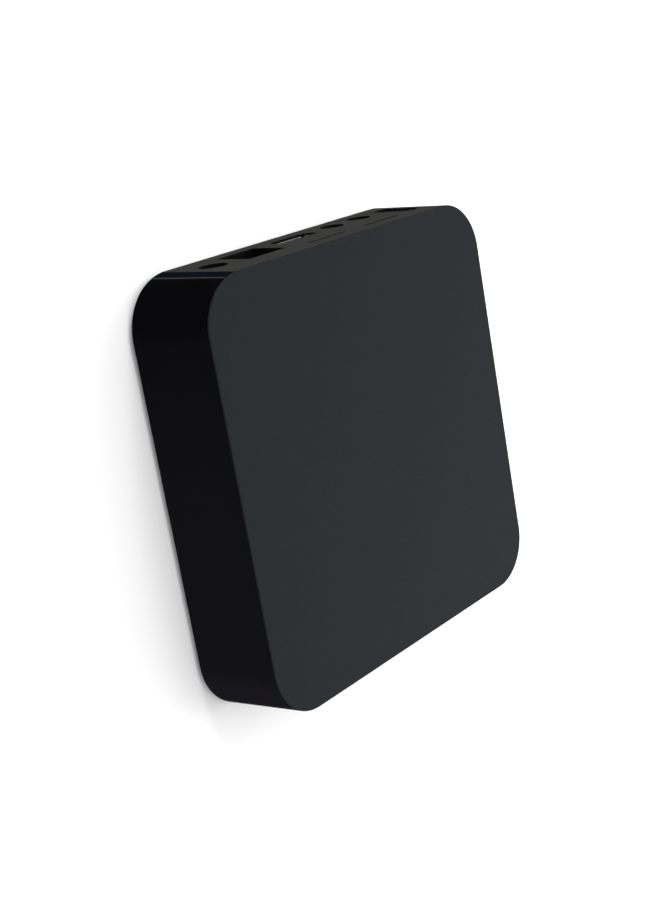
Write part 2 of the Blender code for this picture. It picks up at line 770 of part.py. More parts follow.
def make_dc_jack(parent):
    def body(bm):
        arc = [math.pi * step / 10 for step in range(11)]
        outline = [(-4.5, 0.0), (4.5, 0.0)]
        outline += [(4.5 * math.cos(turn), DC_HEIGHT + 4.5 * math.sin(turn)) for turn in arc]
        add_prism(bm, outline, -13.0, 0.0, "Y")

    def bore(bm):
        profile = [(1.3, -11.6), (1.3, -9.5), (3.15, -9.5), (3.15, 1.0)]
        add_turned(bm, profile, (0.0, DC_HEIGHT), "Y", 24)

    def pin(bm):
        add_turned(bm, [(1.0, -11.3), (1.0, -1.5), (0.5, -1.0)], axis="Y", sides=14)

    jack = piece("dc_jack", MATTE_BLACK, body, (DC_X, DEEP_MOUTH, 0.0), parent=parent)
    change(jack, "DIFFERENCE", bore)
    piece("dc_jack_pin", STEEL, pin, (DC_X, DEEP_MOUTH, DC_HEIGHT), parent=parent)


def make_ethernet_jack(parent):
    depth = 14.0

    def body(bm):
        add_box(bm, (-7.95, -18.0, 0.0), (7.95, 0.0, 12.8))

    def cavity(bm):
        plug_half, latch_half = 5.95, 3.2
        outline = [
            (-latch_half, 1.2), (latch_half, 1.2), (latch_half, 3.0), (plug_half, 3.0),
            (plug_half, 10.4), (-plug_half, 10.4), (-plug_half, 3.0), (-latch_half, 3.0),
        ]
        add_prism(bm, outline, -depth, 1.0, "Y")

    def contact_bar(bm):
        add_box(bm, (-5.4, 0.4 - depth, 7.9), (5.4, 2.0 - depth, 10.0))

    def contact_wires(bm):
        pitch, half_width = 1.02, 0.22
        side = [(1.2 - depth, 8.0), (1.2 - depth, 8.4), (-4.5, 10.0), (-4.2, 9.7)]
        for wire in range(8):
            x = pitch * (wire - 3.5)
            add_prism(bm, side, x - half_width, x + half_width, "X")

    at = (ETHERNET_X, DEEP_MOUTH, 0.0)
    jack = piece("ethernet_jack", MATTE_BLACK, body, at, parent=parent)
    change(jack, "DIFFERENCE", cavity)
    contacts = piece("ethernet_contacts", BRASS, contact_bar, at, parent=parent)
    change(contacts, "UNION", contact_wires)
    make_chip("ethernet_transformer", (12.6, 7.0, 5.4), (ETHERNET_X, 32.0), parent, edge=0.4)
    make_chip("ethernet_phy", (6.0, 6.0, 0.9), (-18.0, 22.0), parent)


def make_hdmi_socket(parent):
    half_width, height, wall, depth = 7.45, 5.2, 0.35, 11.5

    def shell(bm):
        outer = hdmi_outline(half_width, 0.0, height)
        inner = hdmi_outline(half_width - wall, wall, height - wall)
        add_tube(bm, outer, inner, -depth, 0.0)

    def block(bm):
        inside = wall + 0.2
        outline = hdmi_outline(half_width - inside, inside, height - inside)
        add_prism(bm, outline, 0.3 - depth, 4.5 - depth, "Y")

    def tongue(bm):
        add_box(bm, (-5.4, 3.0 - depth, 2.1), (5.4, -1.2, 3.3))

    at = (HDMI_X, HDMI_MOUTH, 0.0)
    piece("hdmi_shell", STEEL, shell, at, parent=parent)
    insert = piece("hdmi_tongue", MATTE_BLACK, block, at, parent=parent)
    change(insert, "UNION", tongue)


def make_audio_jacks(parent):
    nose_length = 4.9

    def body(bm):
        add_box(bm, (-3.3, -16.0, 0.0), (3.3, 0.3 - nose_length, 5.4))

    def nose(bm):
        profile = [(2.9, -nose_length), (2.9, -0.3), (2.6, 0.0)]
        add_turned(bm, profile, (0.0, AUDIO_HEIGHT), "Y", 24)

    def bore(bm):
        profile = [(1.8, -14.0), (1.8, -0.3), (2.3, 0.2)]
        add_turned(bm, profile, (0.0, AUDIO_HEIGHT), "Y", 16)

    for name, x in (("av_jack", AV_X), ("digital_audio_jack", AUDIO_X)):
        jack = piece(name, MATTE_BLACK, body, (x, AUDIO_MOUTH, 0.0), parent=parent)
        change(jack, "UNION", nose)
        change(jack, "DIFFERENCE", bore)


def make_usb_socket(number, at, turn, parent, standing=False):
    """A USB socket, lying with its tongue over its middle, or standing on its narrow side."""
    half_width, half_height = USB_WIDTH / 2, USB_HEIGHT / 2
    inside = USB_WALL + 0.2  # the insert's room in the shell

    def seen(outline):
        """Moves an outline, drawn round the middle of a lying socket's mouth, to its place."""
        if standing:
            return [(-v, u + half_width + REAR_USB_LIFT) for u, v in outline]
        return shifted(outline, 0.0, half_height)

    def shell(bm):
        outer = rounded_rectangle(half_width, half_height, 0.7, 3)
        inner = rounded_rectangle(half_width - USB_WALL, half_height - USB_WALL, 0.4, 3)
        add_tube(bm, seen(outer), seen(inner), -USB_DEPTH, 0.0)

    def legs(bm):
        """Two pairs, which carry the standing socket over the board."""
        for side in (-1, 1):
            x = side * (half_height - USB_WALL / 2)
            for y in (-11.5, -5.0):
                low = (x - USB_WALL / 2, y - 1.0, 0.0)
                add_box(bm, low, (x + USB_WALL / 2, y + 1.0, REAR_USB_LIFT + 1.2))

    def block(bm):
        outline = rectangle(
            inside - half_width, inside - half_height, half_width - inside, half_height - inside
        )
        add_prism(bm, seen(outline), 0.3 - USB_DEPTH, 4.5 - USB_DEPTH, "Y")

    def tongue(bm):
        add_prism(bm, seen(rectangle(-5.5, 0.05, 5.5, 1.95)), 3.0 - USB_DEPTH, -1.2, "Y")

    steel = piece(f"usb_shell_{number}", STEEL, shell, at, turn, parent)
    if standing:
        change(steel, "UNION", legs)
    insert = piece(f"usb_tongue_{number}", IVORY, block, at, turn, parent)
    change(insert, "UNION", tongue)


def make_usb_sockets(parent):
    make_usb_socket(1, (USB_MOUTH, RIGHT_USB_Y, 0.0), -90.0, parent)
    make_usb_socket(2, (REAR_USB_X, USB_MOUTH, 0.0), 0.0, parent, standing=True)


# Right-hand parts, made like the rear sockets, then turned so that their mouths face +X.


def make_card_socket(parent):
    """A push-push card socket. The slider runs beside the card's lane, and a spring pushes it back."""
    socket = group("card_socket", (CARD_MOUTH, CARD_Y, 0.0), -90.0, parent)
    half, floor, rail, back_wall = CARD_WIDTH / 2, 0.5, 0.5, 1.4
    channel_left = rail - half
    channel_front = -4.0
    inner_back = back_wall - CARD_DEPTH
    lane_top = CARD_BASE_HEIGHT

    def tray(bm):
        add_box(bm, (-half, -CARD_DEPTH, 0.0), (half, 0.0, lane_top))

    def lanes(bm):
        outline = [
            (channel_left, inner_back), (CARD_LANE_RIGHT, inner_back), (CARD_LANE_RIGHT, 1.0),
            (CARD_LANE_LEFT, 1.0), (CARD_LANE_LEFT, channel_front), (channel_left, channel_front),
        ]
        add_prism(bm, outline, floor, lane_top + 1.0)

    base = piece("card_socket_base", MATTE_BLACK, tray, parent=socket)
    change(base, "DIFFERENCE", lanes)

    def cover(bm):
        sheet, inner, skirt, top = 0.3, half + GAP, 0.1, lane_top + GAP
        outer = inner + sheet
        outline = [
            (-outer, skirt), (-inner, skirt), (-inner, top), (inner, top),
            (inner, skirt), (outer, skirt), (outer, top + sheet), (-outer, top + sheet),
        ]
        add_prism(bm, outline, -CARD_DEPTH, 0.0, "Y")

    def inspection_slots(bm):
        for x in (-5.0, 5.5):
            add_box(bm, (x - 1.0, -19.0, lane_top), (x + 1.0, -8.0, lane_top + 2.0))

    shell = piece("card_socket_shell", STEEL, cover, parent=socket)
    change(shell, "DIFFERENCE", inspection_slots)

    # The slider stops short of the back wall by this much when the card is all the way in.
    end_play = 0.4
    slider_front = channel_front - 1.0
    slider_length = slider_front - CARD_TRAVEL - end_play - inner_back
    half_width, arm_left, block_length = 1.0, 0.3, 3.0

    def slider(bm):
        """A block with an arm, whose toe the card's corner pushes. Its origin is its front's middle."""
        toe_right, toe_length = 2.6, 1.4
        outline = [
            (-half_width, 0.0), (-half_width, -block_length), (arm_left, -block_length),
            (arm_left, -slider_length), (toe_right, -slider_length),
            (toe_right, toe_length - slider_length), (half_width, toe_length + 0.8 - slider_length),
            (half_width, 0.0),
        ]
        add_prism(bm, outline, 0.0, 2.0)

    slider_x = channel_left + GAP + half_width
    piece("card_slider", IVORY, slider, (slider_x, slider_front, floor + GAP), parent=socket)
    spring_x = (channel_left + slider_x + arm_left) / 2
    spring_front = slider_front - block_length - GAP
    make_card_spring(socket, spring_x, floor + GAP + 1.0, inner_back + GAP, spring_front)


def make_card_spring(parent, x, z, back, front):
    """A helix of fine wire along Y, at rest in its longest state."""
    radius, wire, turns, steps = 0.52, 0.13, 9, 8
    length = front - back - 2 * wire
    curve = bpy.data.curves.new("card_spring", "CURVE")
    curve.dimensions = "3D"
    curve.bevel_depth = wire * MM
    curve.bevel_resolution = 0
    curve.use_fill_caps = True
    line = curve.splines.new("POLY")
    count = turns * steps + 1
    line.points.add(count - 1)
    for index, point in enumerate(line.points):
        turn = 2 * math.pi * index / steps
        at = (radius * math.cos(turn), back + wire + length * index / (count - 1), radius * math.sin(turn))
        point.co = ((x + at[0]) * MM, at[1] * MM, (z + at[2]) * MM, 1.0)
    spring = bpy.data.objects.new("card_spring", curve)
    bpy.context.scene.collection.objects.link(spring)
    curve.materials.append(make_material("card_spring", STEEL))
    spring.parent = parent


def make_reset_switch(parent):
    """A side-push switch behind the pinhole. Its button slides in its bore."""
    switch = group("reset", (RESET_FACE, RESET_Y, 0.0), -90.0, parent)

    def body(bm):
        loops = []
        for inset, z in ((0.0, 0.0), (0.0, 3.0), (0.2, 3.2)):
            corners = rectangle(inset - 2.5, inset - 3.4, 2.5 - inset, -inset)
            loops.append([(x, y, z) for x, y in corners])
        add_loft(bm, loops)

    def bore(bm):
        add_prism(bm, circle(1.1, (0.0, RESET_HEIGHT), 14), -2.2, 1.0, "Y")

    def button(bm):
        add_turned(bm, [(0.8, -1.4), (0.8, 1.3), (0.6, 1.5)], axis="Y", sides=12)

    body_piece = piece("reset_switch", MATTE_BLACK, body, parent=switch)
    change(body_piece, "DIFFERENCE", bore)
    piece("reset_button", IVORY, button, (0.0, 0.0, RESET_HEIGHT), parent=switch)


# Behind the front window. Both face -Y, and their legs stand on the board.


def make_front_parts(parent):
    centre = (WINDOW_LOW + WINDOW_HIGH) / 2 - SEAT

    def dome(radius, start, steps=5):
        """A profile that closes a round end towards -Y, from its tip to its rim."""
        angles = [math.radians(80 - 80 * step / steps) for step in range(steps + 1)]
        return [(radius * math.cos(turn), start - radius * math.sin(turn)) for turn in angles]

    def receiver_body(bm):
        add_box(bm, (-2.8, -1.5, centre - 3.4), (2.8, 1.5, centre + 3.4))

    def receiver_parts(bm):
        add_turned(bm, dome(2.3, -1.3) + [(2.3, 0.0)], (0.0, centre), "Y", 18)
        for x in (-1.8, 0.0, 1.8):
            add_box(bm, (x - 0.25, -0.2, 0.0), (x + 0.25, 0.2, centre - 3.0))

    receiver = piece("ir_receiver", CHIP_BLACK, receiver_body, (-6.0, -47.0, 0.0), parent=parent)
    change(receiver, "UNION", receiver_parts)

    def lamp_body(bm):
        add_turned(bm, dome(1.5, -1.5) + [(1.5, 1.5), (1.9, 1.5), (1.9, 2.4)], (0.0, centre), "Y", 16)

    def lamp_legs(bm):
        half = 0.25
        bend, end = 3.6, 3.6 + 2 * half
        side = [
            (1.8, centre - half), (bend, centre - half), (bend, 0.0),
            (end, 0.0), (end, centre + half), (1.8, centre + half),
        ]
        for x in (-1.0, 1.0):
            add_prism(bm, side, x - half, x + half, "X")

    lamp = piece("status_led", CLEAR_WHITE, lamp_body, (6.0, -48.0, 0.0), parent=parent)
    change(lamp, "UNION", lamp_legs)


def make_electronics():
    board = group("electronics")
    make_board(board)
    on_board = group("on_board", (0.0, 0.0, SEAT), parent=board)
    make_processor(on_board)
    make_memory(on_board)
    make_power(on_board)
    make_clock(on_board)
    make_debug_header(on_board)
    make_wifi(on_board)
    make_dc_jack(on_board)
    make_ethernet_jack(on_board)
    make_hdmi_socket(on_board)
    make_audio_jacks(on_board)
    make_usb_sockets(on_board)
    make_card_socket(on_board)
    make_reset_switch(on_board)
    make_front_parts(on_board)


clear_scene()
make_case()
make_electronics()
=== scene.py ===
"""The fine shapes, materials, light and camera of the streaming media player.

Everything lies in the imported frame: +Z is up, +Y is the rear, and the origin is on the standing surface.
Shapes are made in millimetres, with their places read from the frame's boxes, and show() turns them
into metres.
"""

import math
import random

import bmesh
import bpy
from mathutils import Matrix, Vector


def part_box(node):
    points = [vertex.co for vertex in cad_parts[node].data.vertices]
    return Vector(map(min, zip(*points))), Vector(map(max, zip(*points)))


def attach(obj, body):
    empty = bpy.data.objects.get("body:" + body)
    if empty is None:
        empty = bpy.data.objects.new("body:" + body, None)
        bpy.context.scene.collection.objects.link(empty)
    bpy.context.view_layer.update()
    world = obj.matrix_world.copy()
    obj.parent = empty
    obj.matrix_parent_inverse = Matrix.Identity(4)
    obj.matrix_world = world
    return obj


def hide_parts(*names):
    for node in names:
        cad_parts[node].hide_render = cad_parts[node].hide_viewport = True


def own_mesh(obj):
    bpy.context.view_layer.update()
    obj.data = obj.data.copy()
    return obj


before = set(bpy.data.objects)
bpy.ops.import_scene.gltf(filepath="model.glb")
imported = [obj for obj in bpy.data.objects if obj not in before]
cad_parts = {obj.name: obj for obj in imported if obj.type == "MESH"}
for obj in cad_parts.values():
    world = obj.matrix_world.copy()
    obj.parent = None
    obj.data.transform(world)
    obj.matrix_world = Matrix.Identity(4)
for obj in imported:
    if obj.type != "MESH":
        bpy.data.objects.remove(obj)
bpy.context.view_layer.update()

MM = 0.001
HOUSING = "housing"


def box_mm(node):
    """A node's lowest and highest corner, in millimetres."""
    return [[value / MM for value in corner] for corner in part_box(node)]


def middle(node):
    low, high = box_mm(node)
    return [(a + b) / 2 for a, b in zip(low, high)]


# The case, as the frame has it. Its walls lean out towards the bottom.
BAND_LOW, BAND_HIGH = box_mm("side_band")
LID_LOW, LID_HIGH = box_mm("top_cover")
CASE_BOTTOM = BAND_LOW[2]
CASE_TOP = LID_HIGH[2]
LID_EDGE = 0.5
LID_SKIRT = CASE_TOP - LID_EDGE
LEAN = (BAND_HIGH[0] - LID_HIGH[0]) / (LID_SKIRT - CASE_BOTTOM)
TOP_CORNER = 14.5
CORNER_STEPS = 26
WALL = 2.0
# How far round each rear corner the side band starts, in degrees.
BAND_START = 5.0

# Between two shells there is a fine parting line, and what stands inside a wall has more room.
SEAM = 0.07
WALL_TOP = LID_SKIRT - SEAM
RIB_OUTER = WALL + SEAM
RIB_INNER = RIB_OUTER + 1.38

# A point this near to a face is on it, and a fold sharper than this many degrees is an edge.
NEAR = 0.01
SHARP = 35.0

# The rear wall's two vent slots: where they are along X, and their size and height.
SLOT_PLACES = (-1.3, 23.4)
SLOT_LENGTH, SLOT_WIDTH, SLOT_CORNER, SLOT_LEVEL = 15.9, 1.2, 0.5, 21.4

# The sizes of standard sockets. USB_HOLE is half the width and height of a USB socket's opening.
WIRE_PITCH = 1.02
USB_WIDTH, USB_HEIGHT, USB_ROOM = 13.1, 5.7, 0.25
USB_HOLE = (USB_WIDTH / 2 + USB_ROOM, USB_HEIGHT / 2 + USB_ROOM)
USB_HOLE_CORNER = 0.8
# A spring finger of a metal shell, and the window that it bows through, are this long.
FINGER = 5.6




# Outlines: lists of flat points.


def rectangle(left, low, right, high):
    return [(left, low), (right, low), (right, high), (left, high)]


def circle(radius, at=(0.0, 0.0), sides=32):
    turns = [2 * math.pi * (side + 0.5) / sides for side in range(sides)]
    return [(at[0] + radius * math.cos(turn), at[1] + radius * math.sin(turn)) for turn in turns]


def rounded_rectangle(half_x, half_y, radius, steps=8):
    """Clockwise, from the right-hand end of the top side, so that the last point ends that side."""
    points = []
    corners = ((1, 1), (1, -1), (-1, -1), (-1, 1))
    for index, (side_x, side_y) in enumerate(corners):
        for step in range(steps + 1):
            turn = math.radians(90 - 90 * (index + step / steps))
            x = side_x * (half_x - radius) + radius * math.cos(turn)
            y = side_y * (half_y - radius) + radius * math.sin(turn)
            points.append((x, y))
    return points


def rounded_polygon(corners, radius):
    """The polygon with each corner replaced by a curve that starts and ends this far from it."""
    points = []
    for index, corner in enumerate(corners):
        here = Vector(corner)
        start = here + (Vector(corners[index - 1]) - here).normalized() * radius
        end = here + (Vector(corners[(index + 1) % len(corners)]) - here).normalized() * radius
        for t in (0.0, 0.25, 0.5, 0.75, 1.0):
            point = start * (1 - t) ** 2 + here * 2 * t * (1 - t) + end * t**2
            points.append((point.x, point.y))
    return points


def shifted(outline, across, up):
    return [(u + across, v + up) for u, v in outline]


# Solids. Each is the loops of points that its skin goes over, and how it joins them.


def lay_along(axis, u, v, w):
    """Turns a flat point and a distance along the axis into a place in space."""
    return {"X": (w, u, v), "Y": (u, w, v), "Z": (u, v, w)}[axis]


def loft(loops, joined="capped"):
    """A skin over loops of as many points each: "capped" on its first and last loop, a "ring" that
    comes back to its first loop, or a "channel", which is a ring of open loops."""
    return loops, joined


def prism(outline, low, high, axis="Z"):
    return loft([[lay_along(axis, u, v, w) for u, v in outline] for w in (low, high)])


def block(low, high):
    return prism(rectangle(low[0], low[1], high[0], high[1]), low[2], high[2])


def soft_block(low, high, edge):
    """A block with every edge cut off, for small moulded and pressed parts."""
    centre = [(a + b) / 2 for a, b in zip(low, high)]
    half = [(b - a) / 2 for a, b in zip(low, high)]
    loops = []
    for inset, z in ((edge, low[2]), (0.0, low[2] + edge), (0.0, high[2] - edge), (edge, high[2])):
        outline = rounded_rectangle(half[0] - inset, half[1] - inset, edge, 1)
        loops.append([(centre[0] + x, centre[1] + y, z) for x, y in outline])
    return loft(loops)


def turned(profile, at=(0.0, 0.0), axis="Z", sides=32, joined="capped"):
    """A solid of revolution. The profile's points are (radius, distance along the axis)."""
    loops = []
    for radius, w in profile:
        loops.append([lay_along(axis, u, v, w) for u, v in circle(radius, at, sides)])
    return loft(loops, joined)


def strip(line, thickness, low, high):
    """A bent strip of sheet metal. The line's points are seen along X, and the strip stays this
    thick at right angles to the line."""
    sides = ([], [])
    for index, point in enumerate(line):
        before = Vector(line[max(index - 1, 0)])
        after = Vector(line[min(index + 1, len(line) - 1)])
        along = (after - before).normalized()
        across = Vector((-along.y, along.x)) * thickness / 2
        sides[0].append(tuple(Vector(point) + across))
        sides[1].append(tuple(Vector(point) - across))
    return prism(sides[0] + sides[1][::-1], low, high, "X")


# The case's leaning walls.


def half_side(z, inset=0.0):
    return BAND_HIGH[0] - LEAN * (z - CASE_BOTTOM) - inset


CORNER_CENTRE = half_side(CASE_TOP) - TOP_CORNER


def case_loop(z, inset):
    """The case's outline at a height, moved inwards. It starts and ends at the rear wall's ends."""
    half = half_side(z, inset)
    return [(x, y, z) for x, y in rounded_rectangle(half, half, half - CORNER_CENTRE, CORNER_STEPS)]


def band_end(z, inset):
    """Where the side band's outline starts, on the rear right corner."""
    radius = half_side(z, inset) - CORNER_CENTRE
    turn = math.radians(BAND_START)
    return CORNER_CENTRE + radius * math.sin(turn), CORNER_CENTRE + radius * math.cos(turn)


def band_loop(z, inset):
    """The case's outline without the rear wall's share of it."""
    loop = case_loop(z, inset)
    skipped = math.ceil(BAND_START / (90 / CORNER_STEPS))
    x, y = band_end(z, inset)
    return [(x, y, z)] + loop[skipped:-skipped] + [(-x, y, z)]


def wall_point(side, across, z, inset):
    """A point on the rear wall (side 1) or the front wall (side -1)."""
    return (across, side * half_side(z, inset), z)


# A cutter between these two distances from the middle goes right through a wall.
CUT_FROM, CUT_TO = half_side(CASE_TOP) - 2 * WALL, half_side(0.0) + WALL


def rounding(radius, steps=6):
    """(how far in, how far down) along a quarter circle, from the top of an edge to its side."""
    turns = [math.pi / 2 * step / steps for step in range(steps + 1)]
    return [(radius * (1 - math.sin(turn)), radius * (1 - math.cos(turn))) for turn in turns]


# Making pieces out of solids.


def new_object(name, data):
    thing = bpy.data.objects.new(name, data)
    bpy.context.scene.collection.objects.link(thing)
    return thing


def add_solid(bm, loops, joined):
    rows = [[bm.verts.new(point) for point in loop] for loop in loops]
    count = len(rows[0])
    following = rows[1:] if joined == "capped" else rows[1:] + rows[:1]
    for row, other in zip(rows, following):
        for here in range(count - 1 if joined == "channel" else count):
            there = (here + 1) % count
            bm.faces.new((row[here], row[there], other[there], other[here]))
    if joined == "capped":
        bm.faces.new(rows[0])
        bm.faces.new(rows[-1])
    if joined == "channel":
        bm.faces.new([row[0] for row in rows])
        bm.faces.new([row[-1] for row in rows])


def build(name, solids, join=(), cut=()):
    """An object in millimetres, with what is joined to it and then what is cut out of it."""
    bm = bmesh.new()
    for loops, joined in solids:
        add_solid(bm, loops, joined)
    bmesh.ops.recalc_face_normals(bm, faces=bm.faces)
    mesh = bpy.data.meshes.new(name)
    bm.to_mesh(mesh)
    bm.free()
    thing = new_object(name, mesh)
    if join:
        change(thing, "UNION", join)
    if cut:
        change(thing, "DIFFERENCE", cut)
    return thing


def change(thing, operation, solids):
    helper = build("helper", solids)
    modifier = thing.modifiers.new(operation, "BOOLEAN")
    modifier.operation = operation
    modifier.solver = "EXACT"
    modifier.object = helper
    graph = bpy.context.evaluated_depsgraph_get()
    changed = bpy.data.meshes.new_from_object(thing.evaluated_get(graph))
    thing.modifiers.clear()
    thing.data = changed
    bpy.data.objects.remove(helper)


def soften(thing, chosen, width):
    """Rounds the sharp edges whose two ends are both chosen."""
    bm = bmesh.new()
    bm.from_mesh(thing.data)
    bmesh.ops.dissolve_degenerate(bm, dist=0.0005, edges=bm.edges)
    edges = []
    for edge in bm.edges:
        sharp = len(edge.link_faces) == 2 and edge.calc_face_angle() > math.radians(40)
        if sharp and all(chosen(vert.co) for vert in edge.verts):
            edges.append(edge)
    bmesh.ops.bevel(bm, geom=edges, offset=width, segments=2, profile=0.5, affect="EDGES")
    bm.to_mesh(thing.data)
    bm.free()


def show(thing, slot, node=None, place=None, look=None):
    """Makes a thing a piece of the model, in metres, which rides on the housing. It stands for a node
    of the frame, if one is named. Its material is its slot's, unless another is named."""
    if place is not None:
        thing.data.transform(place)
    thing.data.transform(Matrix.Scale(MM, 4))
    thing.data.shade_smooth()
    thing.data.set_sharp_from_angle(angle=math.radians(SHARP))
    thing.data.materials.clear()
    thing.data.materials.append(LOOKS[look or slot])
    weighted = thing.modifiers.new("normals", "WEIGHTED_NORMAL")
    weighted.keep_sharp = True
    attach(thing, HOUSING)
    if node:
        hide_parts(node)
    return thing


# Materials. Their patterns are laid out in the row's own space, so a pattern's scale is per metre.

# Nearly all of a noise pattern lies between these two.
NOISE_SPREAD = (0.3, 0.7)


class Nodes:
    """A tree of shader nodes, for a material or for the surroundings."""

    def __init__(self, tree):
        self.tree = tree

    def connect(self, value, socket):
        """Feeds a socket from another node's socket, or sets it to a number or a colour."""
        if isinstance(value, bpy.types.NodeSocket):
            self.tree.links.new(value, socket)
        elif socket.type == "RGBA":
            socket.default_value = (*value, 1.0)
        else:
            socket.default_value = value

    def add(self, kind, settings=None, **inputs):
        node = self.tree.nodes.new(f"ShaderNode{kind}")
        for name, value in (settings or {}).items():
            setattr(node, name, value)
        for name, value in inputs.items():
            self.connect(value, node.inputs[name.replace("_", " ")])
        return node

    def calculate(self, operation, *values):
        node = self.add("Math", {"operation": operation})
        for value, socket in zip(values, node.inputs):
            self.connect(value, socket)
        return node.outputs[0]

    def between(self, value, from_low, from_high, to_low=0.0, to_high=1.0):
        """Takes from_low to to_low, and from_high to to_high."""
        limits = {"From_Min": from_low, "From_Max": from_high, "To_Min": to_low, "To_Max": to_high}
        return self.add("MapRange", Value=value, **limits).outputs["Result"]

    def blend(self, share, first, second):
        """A colour between two, each a colour or a socket."""
        node = self.add("Mix", {"data_type": "RGBA"}, Factor=share)
        self.connect(first, node.inputs[6])
        self.connect(second, node.inputs[7])
        return node.outputs[2]


class Surface(Nodes):
    """One Principled material, with the nodes that vary it."""

    def __init__(self, name, colour, roughness, metallic=0.0, specular=0.5):
        self.name = name
        self.material = bpy.data.materials.new(name)
        self.material.use_nodes = True
        self.material.diffuse_color = (*colour, 1.0)
        super().__init__(self.material.node_tree)
        self.shader = self.tree.nodes["Principled BSDF"]
        self.set("Base Color", colour)
        self.set("Roughness", roughness)
        self.set("Metallic", metallic)
        self.set("Specular IOR Level", specular)
        self.place = self.add("TexCoord").outputs["Object"]
        self.normal = None

    def set(self, name, value):
        """Gives the shader a value, or a pattern."""
        self.connect(value, self.shader.inputs[name])
        return self

    def noise(self, scale, detail=3.0, roughness=0.55, stretch=None):
        """A pattern from 0 to 1. Stretch is how much finer it is along each axis."""
        place = self.place
        if stretch:
            place = self.add("Mapping", Vector=place, Scale=stretch).outputs["Vector"]
        node = self.add("TexNoise", Vector=place, Scale=scale, Detail=detail, Roughness=roughness)
        return node.outputs["Fac"]

    def spots(self, scale, size):
        """1 inside scattered round spots, and 0 between them."""
        cells = self.add("TexVoronoi", Vector=self.place, Scale=scale)
        return self.between(cells.outputs["Distance"], size, 0.6 * size)

    def colour(self, share, first, second):
        return self.set("Base Color", self.blend(share, first, second))

    def vary(self, name, pattern, low, high):
        """Lets one of the shader's values follow a noise pattern."""
        return self.set(name, self.between(pattern, *NOISE_SPREAD, low, high))

    def bump(self, pattern, depth_mm):
        """Adds relief this deep to what is there already."""
        inputs = {"Height": pattern, "Distance": depth_mm * MM, "Strength": 1.0}
        if self.normal is not None:
            inputs["Normal"] = self.normal
        self.normal = self.add("Bump", **inputs).outputs["Normal"]
        return self.set("Normal", self.normal)


def scaled(colour, factor):
    return tuple(min(1.0, value * factor) for value in colour)


def moulded(name, colour, roughness, grain, depth, uneven=0.15, specular=0.4):
    """Moulded plastic or rubber: a spark-eroded grain, patches of a slightly different shade, and
    roughness that varies with both."""
    surface = Surface(name, colour, roughness, specular=specular)
    fine = surface.noise(grain, 2.0, 0.6)
    patches = surface.noise(60.0, 4.0, 0.6)
    shade = surface.blend(patches, scaled(colour, 1 - uneven), scaled(colour, 1 + uneven))
    surface.colour(fine, shade, scaled(colour, 1 + 0.6 * uneven))
    surface.vary("Roughness", fine, roughness - 0.07, min(1.0, roughness + 0.07))
    surface.bump(patches, 0.02).bump(fine, depth)
    return surface


def bare_metal(name, colour, roughness, stretch, depth=0.004):
    """Rolled or drawn metal: fine lines along one direction, and a duller film in patches."""
    surface = Surface(name, colour, roughness, metallic=1.0)
    lines = surface.noise(900.0, 3.0, 0.6, stretch)
    film = surface.noise(220.0, 5.0, 0.65)
    surface.colour(film, colour, scaled(colour, 0.75))
    surface.vary("Roughness", lines, roughness - 0.08, roughness + 0.1)
    surface.bump(lines, depth)
    return surface


def soft_touch():
    """The lid's matt finish: an even, very fine grain, slightly cloudy."""
    colour = (0.0042, 0.0058, 0.0076)
    surface = Surface("lid_soft_touch", colour, 0.6, specular=0.13)
    grain = surface.noise(5200.0, 2.0, 0.6)
    cloud = surface.noise(34.0, 4.0, 0.55)
    blotch = surface.noise(420.0, 3.0, 0.6)
    shade = surface.blend(cloud, scaled(colour, 0.9), scaled(colour, 1.12))
    shade = surface.blend(blotch, shade, scaled(colour, 1.06))
    surface.colour(grain, shade, scaled(colour, 1.18))
    mottle = surface.noise(1100.0, 4.0, 0.6)
    surface.vary("Specular IOR Level", mottle, 0.118, 0.142)
    surface.vary("Roughness", grain, 0.53, 0.67)
    surface.bump(blotch, 0.01).bump(grain, 0.012)
    return surface


def gloss_black():
    """Polished black plastic, with hairline wiping marks and a faint unevenness from the mould."""
    surface = Surface("band_gloss_black", (0.0011, 0.0011, 0.0013), 0.055, specular=0.5)
    hairlines = surface.noise(1400.0, 3.0, 0.5, (0.12, 0.12, 1.0))
    wave = surface.noise(26.0, 2.0, 0.4)
    haze = surface.noise(120.0, 4.0, 0.65)
    surface.colour(haze, (0.0010, 0.0010, 0.0012), (0.0016, 0.0016, 0.0020))
    surface.vary("Roughness", haze, 0.035, 0.09)
    surface.bump(wave, 0.01).bump(hairlines, 0.0004)
    return surface


def port_face():
    """The rear wall's coarser spark finish: warm dark grey with paler flecks on the grain's tops. The
    sides of its cut-outs get painted shade: a near-black colour and a much weaker reflection."""
    colour = (0.0182, 0.0187, 0.0154)
    surface = Surface("rear_textured", colour, 0.6, specular=0.35)
    grain = surface.noise(2600.0, 3.0, 0.7)
    cloud = surface.noise(70.0, 4.0, 0.6)
    shade = surface.blend(cloud, scaled(colour, 0.85), scaled(colour, 1.15))
    tops = surface.between(grain, 0.55, 0.72)
    shade = surface.blend(tops, shade, scaled(colour, 2.0))

    # The wall leans, so this sum is the same all over its outer face, and less inside a cut-out.
    parts = surface.add("SeparateXYZ", Vector=surface.place).outputs
    sum_here = surface.calculate("MULTIPLY_ADD", parts["Z"], LEAN, parts["Y"])
    face = (BAND_HIGH[0] + LEAN * CASE_BOTTOM) * MM
    # Painted shade: below the outer face, inside a cut-out, the colour goes near black and the reflection
    # weak.
    inside = surface.between(sum_here, face - 0.09 * MM, face - 0.03 * MM, 1.0, 0.0)
    surface.colour(inside, shade, (0.0018, 0.0018, 0.0018))
    surface.set("Specular IOR Level", surface.between(inside, 0.0, 1.0, 0.35, 0.05))
    surface.vary("Roughness", grain, 0.5, 0.72)
    surface.bump(grain, 0.03)
    return surface


